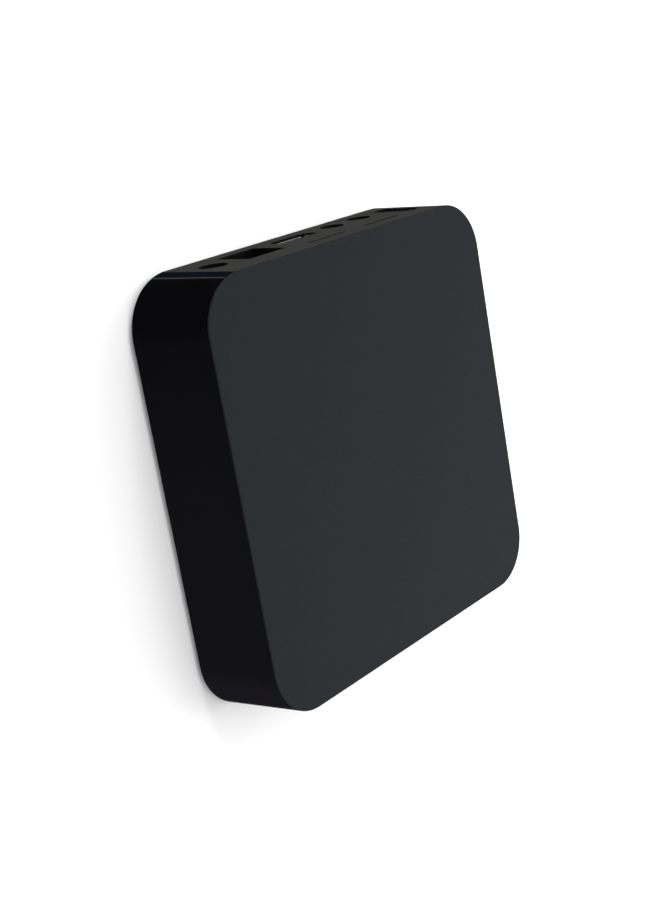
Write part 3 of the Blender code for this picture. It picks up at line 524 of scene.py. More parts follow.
def smoked():
    """The window: plastic of so dark a red that little but infra-red light gets through."""
    surface = Surface("window_smoked", (0.014, 0.003, 0.005), 0.04)
    surface.set("IOR", 1.49)
    cloud = surface.noise(90.0, 3.0)
    surface.colour(cloud, (0.010, 0.002, 0.004), (0.018, 0.004, 0.006))
    surface.vary("Roughness", cloud, 0.03, 0.08)
    surface.bump(cloud, 0.004)
    return surface


def board_laminate():
    """Green solder mask over copper: tracks in two directions, ground areas, and plated holes."""
    surface = Surface("board_laminate", (0.006, 0.05, 0.026), 0.32)
    copper = surface.between(surface.noise(75.0, 0.0), 0.47, 0.48)
    green = surface.blend(copper, (0.005, 0.042, 0.021), (0.009, 0.075, 0.036))
    for across, along in (("X", (700.0, 26.0, 26.0)), ("Y", (26.0, 700.0, 26.0))):
        runs = surface.add("TexWave", {"bands_direction": across}, Vector=surface.place, Scale=200.0)
        lines = surface.between(runs.outputs["Fac"], 0.5, 0.62)
        gate = surface.between(surface.noise(1.0, 1.0, 0.4, along), 0.5, 0.52)
        tracks = surface.calculate("MULTIPLY", lines, gate)
        green = surface.blend(tracks, green, (0.014, 0.11, 0.05))
        surface.bump(tracks, 0.02)
    surface.colour(surface.spots(330.0, 0.2), green, (0.55, 0.5, 0.36))
    surface.vary("Roughness", surface.noise(300.0, 3.0), 0.26, 0.42)
    return surface


def lamp_clear():
    surface = moulded("lamp_clear", (0.75, 0.8, 0.84), 0.12, 1500.0, 0.002, 0.04)
    return surface.set("Transmission Weight", 0.6)


def make_materials():
    moulds = (
        # name, colour, roughness, grain per metre, its depth in millimetres
        ("base_plastic", (0.013, 0.013, 0.014), 0.55, 2400.0, 0.02),
        ("foot_rubber", (0.018, 0.018, 0.019), 0.82, 3000.0, 0.02),
        ("chip_epoxy", (0.017, 0.017, 0.018), 0.48, 6000.0, 0.008),
        ("pad_silicone", (0.26, 0.29, 0.33), 0.75, 3500.0, 0.02),
        ("coil_ferrite", (0.05, 0.05, 0.054), 0.6, 5000.0, 0.015),
        ("cable_jacket", (0.012, 0.012, 0.013), 0.45, 4000.0, 0.006),
        ("tongue_plastic", (0.42, 0.4, 0.36), 0.42, 3800.0, 0.006),
        ("switch_plastic", (0.42, 0.4, 0.36), 0.4, 3800.0, 0.006),
        ("receiver_epoxy", (0.012, 0.008, 0.012), 0.16, 2500.0, 0.002),
    )
    even = (1.0, 1.0, 1.0)
    metals = (
        # name, colour, roughness, stretch of the lines, and their depth where it isn't the usual one
        ("sink_aluminium", (0.55, 0.56, 0.58), 0.38, (1.0, 0.06, 1.0), 0.006),
        ("screw_steel", (0.46, 0.46, 0.47), 0.32, even),
        ("capacitor_aluminium", (0.72, 0.72, 0.73), 0.3, (1.0, 1.0, 0.1)),
        ("shield_tin", (0.56, 0.56, 0.55), 0.33, (0.1, 1.0, 1.0)),
        ("contact_gold", (0.83, 0.6, 0.24), 0.24, even),
        ("socket_steel", (0.40, 0.42, 0.42), 0.26, (1.0, 1.0, 0.08)),
        ("spring_steel", (0.5, 0.5, 0.52), 0.28, even),
        ("solder", (0.6, 0.6, 0.6), 0.3, even),
    )
    surfaces = [soft_touch(), gloss_black(), port_face(), smoked(), board_laminate(), lamp_clear()]
    surfaces += [moulded(*row) for row in moulds] + [bare_metal(*row) for row in metals]
    # Socket plastic: black, but darker and less reflective than the other black plastics, as painted shade
    # in the sockets' openings.
    sockets = moulded("socket_plastic", (0.0025, 0.0025, 0.0028), 0.5, 4200.0, 0.008, specular=0.15)
    return {surface.name: surface.material for surface in surfaces + [sockets]}


LOOKS = make_materials()


# The case.


def round_nodes(prefix):
    """(name, place, radius, underside, top) of each upright round node whose name starts so."""
    rows = []
    for name in sorted(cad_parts):
        if name.startswith(prefix):
            low, high = box_mm(name)
            rows.append((name, tuple(middle(name)[:2]), (high[0] - low[0]) / 2, low[2], high[2]))
    return rows


def at_each(prefix, profile):
    """The same turned solid at each of those nodes."""
    return [turned(profile, at) for _, at, _, _, _ in round_nodes(prefix)]


def make_lid():
    """A plate with a rounded edge, a rib that fits inside the walls, and a boss for each case screw."""
    plate_under, rib_low, boss_low = CASE_TOP - WALL, CASE_TOP - 2 * WALL, LID_LOW[2]
    rim, edge_round, skirt_cut = 1.2, 0.3, 0.06
    boss, bore = 3.25, 1.4

    profile = [(rim, CASE_TOP)]
    profile += [(inset, CASE_TOP - drop) for inset, drop in rounding(edge_round)]
    profile += [(0.0, LID_SKIRT + skirt_cut), (skirt_cut, LID_SKIRT), (RIB_OUTER, LID_SKIRT)]
    profile += [(RIB_OUTER, rib_low), (RIB_INNER, rib_low), (RIB_INNER, plate_under)]
    plate = loft([case_loop(z, inset) for inset, z in profile])

    outside = [(boss - 0.2, boss_low), (boss, boss_low + 0.2)]
    outside += [(boss, CASE_TOP - 3.0), (boss + 0.75, CASE_TOP - 1.0)]
    inside = [(bore + 0.4, boss_low - 0.5), (bore, boss_low + 0.3), (bore, boss_low + 9.0)]
    lid = build("lid", [plate], at_each("case_screw", outside), at_each("case_screw", inside))
    show(lid, "lid_soft_touch", "top_cover")


def window_outline(grow):
    low, high = box_mm("front_window")
    half_x, half_z = (high[0] - low[0]) / 2 + grow, (high[2] - low[2]) / 2 + grow
    return shifted(rounded_rectangle(half_x, half_z, half_z - 0.1), 0.0, (high[2] + low[2]) / 2)


def make_band():
    """The gloss wall, open at the rear, with the openings of its right and front sides."""
    card_half_width, card_half_height, card_level, pinhole = 12.4, 1.5, 1.9, 0.8
    # The card's lane leaves room for the slider at the socket's rear side.
    slider_room = 1.3

    profile = [(0.25, CASE_BOTTOM), (0.07, CASE_BOTTOM + 0.07), (0.0, CASE_BOTTOM + 0.25)]
    profile += [(0.0, WALL_TOP), (WALL, WALL_TOP), (WALL, CASE_BOTTOM)]
    wall = loft([band_loop(z, inset) for inset, z in profile], "channel")

    usb, card, reset = middle("usb_shell_1"), middle("card_socket_base"), middle("reset_button")
    card_height = box_mm("card_socket_base")[0][2] + card_level
    card_slot = rounded_rectangle(card_half_width, card_half_height, 1.0)
    outlines = [
        shifted(rounded_rectangle(*USB_HOLE, USB_HOLE_CORNER), usb[1], usb[2]),
        shifted(card_slot, card[1] - slider_room, card_height),
        circle(pinhole, (reset[1], reset[2])),
    ]
    openings = [prism(outline, CUT_FROM, CUT_TO, "X") for outline in outlines]
    openings.append(prism(window_outline(SEAM), -CUT_TO, -CUT_FROM, "Y"))

    def rim(point):
        level = CASE_BOTTOM + 1.0 < point.z < WALL_TOP - 1.0
        return level and abs(max(point.x, -point.y) - half_side(point.z)) < NEAR

    band = build("gloss_band", [wall], cut=openings)
    soften(band, rim, 0.14)
    show(band, "band_gloss_black", "side_band")


def make_window():
    """A lens with a rounded edge, and a flange behind the band that keeps light out of the gap."""
    front = ((0.0, -0.35), (0.05, -0.12), (0.2, 0.0))
    flange = ((RIB_OUTER, 0.0), (RIB_OUTER, 0.8), (2.6, 0.8))
    loops = []
    for inset, grow in front + flange:
        loops.append([wall_point(-1, u, z, inset) for u, z in window_outline(grow)])
    show(build("window_lens", [loft(loops)]), "window_smoked", "front_window")


def video_outline(half_width, low, high):
    """The video socket seen from its mouth: wide at the top, with its lower corners cut off."""
    slant_height = low + 0.36 * (high - low)
    foot_half = half_width - 1.6
    corners = [
        (-half_width, high), (half_width, high), (half_width, slant_height),
        (foot_half, low), (-foot_half, low), (-half_width, slant_height),
    ]
    return rounded_polygon(corners, radius=0.45)


def make_port_wall():
    """The rear wall, which reaches behind the band's ends, with its ports and vent slots."""
    half = band_end(CASE_TOP, WALL)[0] - SEAM
    power_radius, audio_radius, audio_drop = 3.9, 3.5, 2.88
    network_half, network_low, network_high = 7.5, 6.3, 18.6
    video_half, video_low, video_high = 8.0, 6.4, 11.9

    outline = rectangle(-half, CASE_BOTTOM, half, WALL_TOP)
    plate = loft([[wall_point(1, u, z, inset) for u, z in outline] for inset in (0.0, WALL)])

    # An upright L at each end, which reaches behind the band's end.
    root, step, end = half - 1.1, half - 0.3, half + 1.7
    section = ((root, 1.5), (step, 1.5), (step, 2.7), (end, 2.7), (end, 3.6), (root, 3.6))
    flanges = []
    for side in (-1, 1):
        loops = []
        for z in (6.0, CASE_TOP - 4.4):
            loops.append([wall_point(1, side * x, z, inset) for x, inset in section])
        flanges.append(loft(loops))

    holes = [
        # the node behind it, its outline, and the height that the outline starts from
        ("dc_jack_pin", circle(power_radius, sides=48), middle("dc_jack_pin")[2]),
        ("ethernet_jack", rectangle(-network_half, network_low, network_half, network_high), 0.0),
        ("hdmi_shell", video_outline(video_half, video_low, video_high), 0.0),
        ("usb_tongue_2", rounded_rectangle(*USB_HOLE[::-1], USB_HOLE_CORNER), middle("usb_tongue_2")[2]),
    ]
    for node in ("av_jack", "digital_audio_jack"):
        holes.append((node, circle(audio_radius, sides=48), box_mm(node)[1][2] - audio_drop))
    outlines = [shifted(outline, middle(node)[0], height) for node, outline, height in holes]
    slot = rounded_rectangle(SLOT_LENGTH / 2, SLOT_WIDTH / 2, SLOT_CORNER, 4)
    slots = [shifted(slot, x, SLOT_LEVEL) for x in SLOT_PLACES]

    def through(outlines):
        return [prism(outline, CUT_FROM, CUT_TO, "Y") for outline in outlines]

    wall = build("port_wall", [plate], flanges, through(outlines))
    soften(wall, lambda point: abs(point.y - half_side(point.z)) < NEAR, 0.09)
    change(wall, "DIFFERENCE", through(slots))
    show(wall, "rear_textured", "rear_panel")


def make_base():
    """A tray with ribs, wells for the case screws, posts for the board, foot recesses and vents."""
    plate_top, rib_top, well_top, screw_seat = 3.4, 5.6, 4.4, 3.5
    below, foot_recess = CASE_BOTTOM - 1.0, CASE_BOTTOM + 0.6
    post_top = box_mm("main_board")[0][2] - SEAM
    head_room, shank_room, board_screw_room = 2.9, 1.5, 1.25
    rib_half, rib_length = 0.6, 17.0
    vent_rows, vent_pitch, vent_middle = 7, 6.0, 16.0

    profile = [(RIB_OUTER + inset, CASE_BOTTOM + drop) for inset, drop in rounding(0.35, 4)]
    profile += [(RIB_OUTER, rib_top), (RIB_INNER, rib_top), (RIB_INNER, plate_top)]
    tray = loft([case_loop(z, inset) for inset, z in profile])

    root = plate_top - 0.7
    inner = at_each("case_screw", [(4.4, root), (4.2, well_top - 0.2), (4.0, well_top)])
    inner += at_each("board_screw", [(2.9, root), (2.6, post_top - 0.2), (2.4, post_top)])
    for x in (-29.0, 0.0, 29.0):
        for y in (-42.0, 25.0):
            low = (x - rib_half, y, plate_top - 0.4)
            inner.append(block(low, (x + rib_half, y + rib_length, plate_top + 0.9)))

    recesses = []
    for _, at, radius, _, _ in round_nodes("foot_"):
        recesses.append(prism(circle(radius + 0.2, at, 48), below, foot_recess))
    step = [(head_room, below), (head_room, screw_seat), (shank_room, screw_seat), (shank_room, 5.0)]
    recesses += at_each("case_screw", step)
    hole = [(board_screw_room, CASE_BOTTOM + 0.8), (board_screw_room, post_top + 1.0)]
    recesses += at_each("board_screw", hole)
    vent = rounded_rectangle(11.5, 1.0, 0.95, 6)
    for row in range(vent_rows):
        y = vent_pitch * (row - vent_rows // 2)
        for side in (-1, 1):
            recesses.append(prism(shifted(vent, vent_middle * side, y), below, plate_top + 1.0))

    base = build("base_tray", [tray], inner, recesses)
    soften(base, lambda point: abs(point.z - CASE_BOTTOM) < NEAR, 0.18)
    show(base, "base_plastic", "base_cover")


def make_feet():
    """Rubber feet with a dish in their undersides. Their upper ends are in the base's recesses."""
    for name, at, radius, low, top in round_nodes("foot_"):
        profile = [(radius - 2.9, low + 0.25), (radius - 2.4, low + 0.22)]
        profile += [(radius - 2.1, low + 0.05), (radius - 1.9, low)]
        profile += [(radius - inset, low + drop) for inset, drop in rounding(0.7)]
        profile += [(radius, top + 0.15)]
        show(build(f"rubber_{name}", [turned(profile, at, sides=48)]), "foot_rubber", name)


def make_screw(node, shank_radius, head_height, up):
    """A pan-head screw with a cross recess and a thread of rings. Its head is up (1) or down (-1)."""
    name, at, head_radius, low, high = node
    head_end, shank_end = (high, low) if up > 0 else (low, high)
    seat = head_end - up * head_height
    length = abs(shank_end - seat)
    pitch, depth = 0.7, 0.16
    core = shank_radius - depth

    profile = [(0.35 * shank_radius, -length), (core, -length + 0.7)]
    ring = -length + 0.9
    while ring < -pitch:
        profile += [(core, ring), (shank_radius, ring + 0.3 * pitch), (core, ring + 0.6 * pitch)]
        ring += pitch
    profile += [(core, -0.1), (shank_radius, 0.0), (head_radius - 0.1, 0.0)]
    for step in range(7):
        turn = math.radians(90 * step / 6)
        radius = head_radius * (0.62 + 0.38 * math.cos(turn))
        profile.append((radius, head_height * (0.3 + 0.7 * math.sin(turn))))
    body = turned([(radius, seat + up * w) for radius, w in profile], at, sides=28)

    # Four arms, which get narrower and shorter towards the bottom of the recess.
    arm, half = 0.6 * head_radius, 0.13 * head_radius
    loops = []
    for share, level in ((0.35, 0.15), (1.0, 1.0), (1.1, 1.4)):
        loop = []
        for quarter in range(4):
            turn = math.pi / 2 * quarter
            for u, v in ((half, half), (half, arm * share), (-half, arm * share)):
                x = at[0] + u * math.cos(turn) - v * math.sin(turn)
                y = at[1] + u * math.sin(turn) + v * math.cos(turn)
                loop.append((x, y, seat + up * head_height * level))
        loops.append(loop)
    show(build(f"fine_{name}", [body], cut=[loft(loops)]), "screw_steel", name)


def make_screws():
    for node in round_nodes("case_screw"):
        make_screw(node, shank_radius=1.3, head_height=1.3, up=-1)
    for node in round_nodes("board_screw"):
        make_screw(node, shank_radius=1.1, head_height=1.2, up=1)


# The sockets. Each is made with its mouth at y = 0, facing +Y, its underside at z = 0, and moved.


def facing_rear(node):
    low, high = box_mm(node)
    return Matrix.Translation((middle(node)[0], high[1], low[2]))


def facing_rear_on_edge(node):
    """For a USB socket that stands on its narrow side."""
    _, (_, rear, top) = box_mm(node)
    turn = Matrix.Rotation(math.radians(-90.0), 4, "Y")
    centred = Matrix.Translation((0.0, 0.0, -USB_HEIGHT / 2))
    return Matrix.Translation((middle(node)[0], rear, top - USB_WIDTH / 2)) @ turn @ centred


def facing_right(node):
    low, high = box_mm(node)
    turn = Matrix.Rotation(math.radians(-90.0), 4, "Z")
    return Matrix.Translation((high[0], middle(node)[1], low[2])) @ turn


def at_mouth(point):
    return abs(point.y) < NEAR


def make_power_socket():
    """An arched body with a stepped bore, a split pin on its axis, and a spring leaf below the pin."""
    place = facing_rear("dc_jack")
    axis_height = middle("dc_jack_pin")[2] - box_mm("dc_jack")[0][2]
    at = (0.0, axis_height)
    half_width, depth, bore, bore_depth = 4.5, 13.0, 3.15, 9.5

    outline = [(-half_width, 0.0), (half_width, 0.0)]
    for step in range(25):
        turn = math.pi * step / 24
        outline.append((half_width * math.cos(turn), axis_height + half_width * math.sin(turn)))
    profile = [(1.3, -11.6), (1.3, -bore_depth), (bore, -bore_depth)]
    profile += [(bore, -0.5), (bore + 0.35, 0.0), (bore + 0.45, 1.0)]
    hollow = [turned(profile, at, "Y", 40), block((-0.9, -9.0, -1.0), (0.9, -3.0, 3.8))]
    body = build("power_socket", [prism(outline, -depth, 0.0, "Y")], cut=hollow)
    soften(body, at_mouth, 0.2)
    show(body, "socket_plastic", "dc_jack", place)

    profile = [(1.0, -11.3), (1.0, -1.6), (0.9, -1.25), (0.6, -1.05), (0.25, -1.0)]
    split = block((-0.12, -6.0, axis_height - 2.0), (0.12, 0.0, axis_height + 2.0))
    pin = build("power_pin", [turned(profile, at, "Y", 28)], cut=[split])
    show(pin, "contact_gold", "dc_jack_pin", place)

    leaf = strip([(-9.0, 3.25), (-6.5, 3.4), (-4.5, 3.85), (-3.4, 3.6)], 0.2, -0.7, 0.7)
    show(build("power_leaf", [leaf]), "spring_steel", place=place)


def make_network_socket():
    """A block with a plug's cavity, its latch groove and eight wire grooves, and the bent wires."""
    place = facing_rear("ethernet_jack")
    half_width, height, body_depth = 7.95, 12.8, 18.0
    depth, plug_half, latch_half = 14.0, 5.95, 3.2
    low, shoulder, roof = 1.2, 3.0, 10.4
    wires = [WIRE_PITCH * (wire - 3.5) for wire in range(8)]

    outline = [
        (-latch_half, low), (latch_half, low), (latch_half, shoulder), (plug_half, shoulder),
        (plug_half, roof), (-plug_half, roof), (-plug_half, shoulder), (-latch_half, shoulder),
    ]
    cavity = [prism(outline, -depth, 1.0, "Y")]
    cavity += [block((x - 0.3, -depth - 1.0, 8.0), (x + 0.3, -2.4, roof + 0.4)) for x in wires]
    body = block((-half_width, -body_depth, 0.0), (half_width, 0.0, height))
    socket = build("network_socket", [body], cut=cavity)
    soften(socket, at_mouth, 0.25)
    show(socket, "socket_plastic", "ethernet_jack", place)

    # Each wire hangs from the roof at the back and springs up at the front.
    line = [(-depth + 0.4, 10.3), (-depth + 0.5, 8.6), (-depth + 1.0, 8.1), (-depth + 1.8, 8.1)]
    line += [(-9.0, 8.7), (-6.0, 9.4), (-4.6, 9.9), (-3.6, 10.3)]
    contacts = [strip(line, 0.34, x - 0.2, x + 0.2) for x in wires]
    show(build("network_contacts", contacts), "contact_gold", "ethernet_contacts", place)


def metal_shell(outline_at, depth, wall, flare):
    """A pressed shell, open at both ends. outline_at(inset) is its outline, moved inwards, and its
    mouth opens out by the flare."""
    outer = [(-depth, 0.0), (-1.3, 0.0), (-0.6, -0.4 * flare), (-0.1, -flare), (0.0, -0.8 * flare)]
    inner = [(0.0, wall - 1.2 * flare), (-0.1, wall - flare), (-0.6, wall - 0.4 * flare)]
    inner += [(-1.3, wall), (-depth, wall)]
    return loft([[(x, y, z) for x, z in outline_at(inset)] for y, inset in outer + inner], "ring")


def finger_windows(places, half_width, front, height):
    """Cuts for a shell's upper and lower walls, which end this far behind its mouth."""
    cuts = []
    for x in places:
        for z in (height, 0.0):
            cuts.append(block((x - half_width, front - FINGER, z - 1.0), (x + half_width, front, z + 1.0)))
    return cuts


def spring_fingers(places, half_width, front, height, wall, bow, thickness):
    """The strips in those windows, which bow in from the shell's upper and lower walls."""
    fingers = []
    for x in places:
        for level, out in ((height - wall / 2, -bow), (wall / 2, bow)):
            line = []
            for step in range(9):
                t = step / 8
                line.append((front - FINGER * t, level + out * math.sin(math.pi * min(1.0, 1.15 * t))))
            fingers.append(strip(line, thickness, x - half_width, x + half_width))
    return fingers


def make_video_socket():
    """A bent steel shell with spring fingers, and an insert whose tongue has two rows of contacts."""
    place = facing_rear("hdmi_shell")
    half_width, height, wall, depth = 7.45, 5.2, 0.42, 11.5
    finger_places, finger_front = (-3.4, 3.4), -1.6
    tongue_half, tongue_low, tongue_high = 5.4, 2.1, 3.3
    insert_back, insert_front = 0.3 - depth, 4.5 - depth
    pitch = 1.0

    def outline_at(inset):
        return video_outline(half_width - inset, inset, height - inset)

    windows = finger_windows(finger_places, 0.9, finger_front, height)
    windows += [block((x - 0.55, -0.9, -1.0), (x + 0.55, 1.0, 1.5)) for x in (-6.2, 6.2)]
    steel = build("video_shell", [metal_shell(outline_at, depth, wall, 0.1)], cut=windows)
    show(steel, "socket_steel", "hdmi_shell", place)
    fingers = spring_fingers(finger_places, 0.65, finger_front, height, wall, 0.55, 0.25)
    show(build("video_fingers", fingers), "spring_steel", place=place)

    tongue = []
    for y, inset in ((insert_front - 0.1, 0.0), (-1.5, 0.0), (-1.2, 0.25)):
        half = tongue_half - inset
        corners = rectangle(-half, tongue_low + inset, half, tongue_high - inset)
        tongue.append([(x, y, z) for x, z in corners])
    insert = [prism(outline_at(wall + 0.2), insert_back, insert_front, "Y"), loft(tongue)]
    show(build("video_tongue", insert), "socket_plastic", "hdmi_tongue", place)

    contacts = []
    for count, z, shift in ((10, tongue_high, 0.0), (9, tongue_low, 0.5)):
        for contact in range(count):
            x = pitch * (contact - 4.5) + shift
            contacts.append(block((x - 0.16, insert_front, z - 0.06), (x + 0.16, -1.9, z + 0.06)))
    show(build("video_contacts", contacts), "contact_gold", place=place)


def make_audio_sockets():
    """Two jacks, each a body and a round nose with a bore, and a steel sleeve in the bore."""
    nose_length, nose_radius, bore, at = 4.9, 2.9, 1.8, (0.0, 2.6)

    edge = [(nose_radius - inset, -drop) for inset, drop in rounding(0.35)]
    nose = turned([(nose_radius, -nose_length)] + edge[::-1], at, "Y", 40)
    hollow = turned([(bore, -14.0), (bore, -0.55), (bore + 0.35, -0.1), (bore + 0.5, 0.2)], at, "Y")
    body = soft_block((-3.3, -16.0, 0.0), (3.3, 0.3 - nose_length, 5.4), 0.15)
    profile = ((2.0, -2.4), (1.62, -2.4), (1.62, -1.3), (1.78, -1.1), (1.95, -1.2))
    sleeve = turned(profile, at, "Y", joined="ring")
    for name, node in (("av_socket", "av_jack"), ("audio_socket", "digital_audio_jack")):
        place = facing_rear(node)
        show(build(name, [body], [nose], [hollow]), "socket_plastic", node, place)
        show(build(f"{name}_sleeve", [sleeve]), "socket_steel", place=place)


def make_usb_sockets():
    """Two steel shells with spring fingers, each with a pale insert and its four contacts."""
    half_width, height, depth, wall = USB_WIDTH / 2, USB_HEIGHT, 14.0, 0.35
    finger_places, finger_front = (-3.0, 3.0), -2.6
    insert_back, insert_front, inside = 0.3 - depth, 4.5 - depth, wall + 0.2

    def outline_at(inset):
        outline = rounded_rectangle(half_width - inset, height / 2 - inset, max(0.25, 0.7 - inset), 5)
        return shifted(outline, 0.0, height / 2)

    shell = metal_shell(outline_at, depth, wall, 0.14)
    windows = finger_windows(finger_places, 1.1, finger_front, height)
    fingers = spring_fingers(finger_places, 0.8, finger_front, height, wall, 0.7, 0.28)

    # Two pairs of legs on one narrow side carry the socket that stands on its edge.
    legs = []
    for z in (0.0, height - wall):
        for y in (-11.5, -5.0):
            legs.append(block((-half_width - 0.8, y - 1.0, z), (1.2 - half_width, y + 1.0, z + wall)))

    side = half_width - inside
    insert = [
        block((-side, insert_back, inside), (side, insert_front, height - inside)),
        soft_block((-5.5, insert_front - 0.5, 2.9), (5.5, -1.2, 4.8), 0.15),
    ]
    line = [(insert_front, 2.86), (-4.0, 2.82), (-2.8, 2.62), (-2.0, 2.86)]
    contacts = [strip(line, 0.16, x - 0.5, x + 0.5) for x in (-3.5, -1.0, 1.0, 3.5)]

    places = {1: facing_right("usb_shell_1"), 2: facing_rear_on_edge("usb_shell_2")}
    for number, place in places.items():
        steel = build(f"usb_metal_{number}", [shell], cut=windows)
        if number == 2:
            change(steel, "UNION", legs)
        show(steel, "socket_steel", f"usb_shell_{number}", place)
        show(build(f"usb_fingers_{number}", fingers), "spring_steel", place=place)
        show(build(f"usb_insert_{number}", insert), "tongue_plastic", f"usb_tongue_{number}", place)
        show(build(f"usb_contacts_{number}", contacts), "contact_gold", place=place)


def make_card_spring():
    """The spring lies beside the slider's arm. In the real socket it shortens as the slider goes in; here
    it keeps one length.
    """
    low, high = box_mm("card_spring")
    _, centre_y, centre_z = middle("card_spring")
    wire, turns, steps, sides, travel = 0.13, 9, 20, 8, 6.0
    radius = (high[2] - low[2]) / 2 - wire
    start, length = low[0] + wire, high[0] - low[0] - 2 * wire

    loops = []
    for index in range(turns * steps + 1):
        turn = 2 * math.pi * index / steps
        centre = Vector((start + length * index / (turns * steps), centre_y, centre_z))
        out = Vector((0.0, math.cos(turn), math.sin(turn)))
        loop = []
        for side in range(sides):
            around = 2 * math.pi * side / sides
            along = Vector((wire * math.sin(around), 0.0, 0.0))
            loop.append(centre + along + out * (radius + wire * math.cos(around)))
        loops.append(loop)

    spring = show(build("fine_card_spring", [loft(loops)]), "spring_steel", "card_spring")
    spring.modifiers.clear()
    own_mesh(spring)


# What stands on the board: rows of small parts, and the solder of the sockets.


def make_small_parts():
    """Chip resistors and capacitors in rows beside the chips that they serve."""
    board_top = box_mm("main_board")[1][2]
    dice = random.Random(7)
    rows = [
        # first part's place, step to the next, how many parts
        ((-13.0, -26.0), (0.0, 3.0), 12),
        ((-9.0, 11.8), (2.6, 0.0), 6),
        ((-30.5, -30.0), (0.0, 2.8), 14),
        ((-17.0, -42.0), (0.0, 2.6), 5),
        ((7.0, -43.0), (2.4, 0.0), 4),
        ((24.0, 16.0), (2.5, 0.0), 6),
        ((24.0, 32.0), (2.5, 0.0), 5),
        ((-28.5, 13.0), (0.0, 2.6), 5),
        ((-11.5, 32.0), (2.6, 0.0), 5),
        ((10.0, 33.0), (2.6, 0.0), 5),
        ((24.0, -2.0), (0.0, 2.8), 6),
    ]
    bodies, ends = [], []
    for (x, y), (step_x, step_y), count in rows:
        # The parts lie across their row.
        length_way = Vector((0.0, 1.0) if step_x else (1.0, 0.0))
        width_way = length_way.yx
        for index in range(count):
            at = Vector((x + index * step_x, y + index * step_y))
            height = dice.choice((0.45, 0.55, 0.8))
            bodies.append((at, 0.8 * length_way + 0.4 * width_way, height))
            for side in (-1, 1):
                half = 0.2 * length_way + 0.44 * width_way
                ends.append((at + side * 0.82 * length_way, half, height + 0.04))

    def blocks(parts):
        solids = []
        for at, half, height in parts:
            low, high = (*(at - half), board_top + 0.02), (*(at + half), board_top + height)
            solids.append(soft_block(low, high, 0.06))
        return solids

    show(build("small_part_bodies", blocks(bodies)), "coil_ferrite")
    show(build("small_part_ends", blocks(ends)), "shield_tin")


def make_solder_joints():
    """Cones of solder under the board, at the legs of the sockets and the header."""
    board_bottom = box_mm("main_board")[0][2]
    board_end, margin, pin_pitch = 52.0, 1.2, 2.54
    places = []
    for node in (
        "dc_jack", "ethernet_jack", "hdmi_shell", "av_jack", "digital_audio_jack",
        "usb_shell_1", "usb_shell_2",
    ):
        end_margin = 1.2 if node.startswith("usb") else 1.5
        (left, front, _), (right, rear, _) = box_mm(node)
        right, rear = min(right, board_end), min(rear, board_end)
        for x in (left + margin, right - margin):
            places += [(x, front + end_margin), (x, rear - end_margin)]
    header = middle("debug_header")
    places += [(header[0] + pin_pitch * (pin - 1.5), header[1]) for pin in range(4)]
    profile = [(0.35, board_bottom - 0.75), (0.42, board_bottom - 0.45), (0.9, board_bottom - 0.03)]
    joints = [turned(profile, at, sides=14) for at in places]
    show(build("solder_joints", joints), "shield_tin", look="solder")


# The nodes that stay as the frame has them, each with its finish.

KEPT_NODES = {
    "board_laminate": ["main_board", "wifi_antenna"],
    "chip_epoxy": ["soc", "flash_chip", "power_regulator", "ethernet_phy", "ethernet_transformer"]
    + [f"ram_chip_{number}" for number in (1, 2, 3, 4)],
    "pad_silicone": ["thermal_pad"],
    "sink_aluminium": ["heatsink"],
    "capacitor_aluminium": ["capacitor_1", "capacitor_2"],
    "coil_ferrite": ["inductor_1", "inductor_2"],
    "shield_tin": ["crystal", "wifi_module"],
    "cable_jacket": ["antenna_cable"],
    "contact_gold": ["antenna_plug"],
    "socket_plastic": ["card_socket_base", "debug_header", "reset_switch"],
    "socket_steel": ["card_socket_shell"],
    "switch_plastic": ["card_slider", "reset_button"],
    "receiver_epoxy": ["ir_receiver"],
    "lamp_clear": ["status_led"],
}


def dress_kept_nodes():
    for slot, names in KEPT_NODES.items():
        for name in names:
            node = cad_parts[name]
            node.data.materials.clear()
            node.data.materials.append(LOOKS[slot])


# The stage: floor, surroundings, lights and camera.


LIGHT_DISTANCE = 1.1
LIGHTS = (
    # name, direction from the object, size in metres, power in watts, whether reflections show it
    ("key", (0.85, 0.08, 0.52), 0.9, 10.2, False),
    ("sheen", (0.70, -0.42, 0.57), 0.5, 1.15, True),
    ("rear_fill", (-0.03, 0.86, 0.46), 0.5, 8.0, True),
)
FLOOR_HALF = 6.0
# How bright the surroundings are, as light on the object and as the picture's background.
SKY, BACKDROP = 1.0, 1.1
DARK_STUDIO = (
    # direction round the object in degrees, from +X towards +Y, and what a reflection sees there
    (-180.0, (0.030, 0.030, 0.036)),
    (-170.0, (0.040, 0.040, 0.048)),
    (-160.0, (0.085, 0.083, 0.100)),
    (-148.0, (0.095, 0.088, 0.115)),
    (-110.0, (0.095, 0.085, 0.125)),
    (-79.0, (0.036, 0.032, 0.048)),
    (-50.0, (0.03, 0.03, 0.04)),
    (5.0, (0.008, 0.009, 0.012)),
    (11.0, (0.004, 0.009, 0.016)),
    (49.0, (0.013, 0.026, 0.050)),
    (50.0, (0.5, 0.5, 0.54)),
    (51.4, (0.5, 0.5, 0.54)),
    (52.4, (0.01, 0.01, 0.012)),
    (110.0, (0.012, 0.012, 0.015)),
    (150.0, (0.018, 0.018, 0.022)),
    (180.0, (0.030, 0.030, 0.036)),
)


def make_floor():
    """A white sheet. Glossy reflections look past it, into the dark studio below the horizon."""
    corners = rectangle(-FLOOR_HALF, -FLOOR_HALF, FLOOR_HALF, FLOOR_HALF)
    mesh = bpy.data.meshes.new("floor")
    mesh.from_pydata([(x, y, 0.0) for x, y in corners], [], [range(4)])
    mesh.materials.append(Surface("floor", (0.9, 0.9, 0.9), 0.9, specular=0.1).material)
    floor = new_object("floor", mesh)
    floor.visible_glossy = False


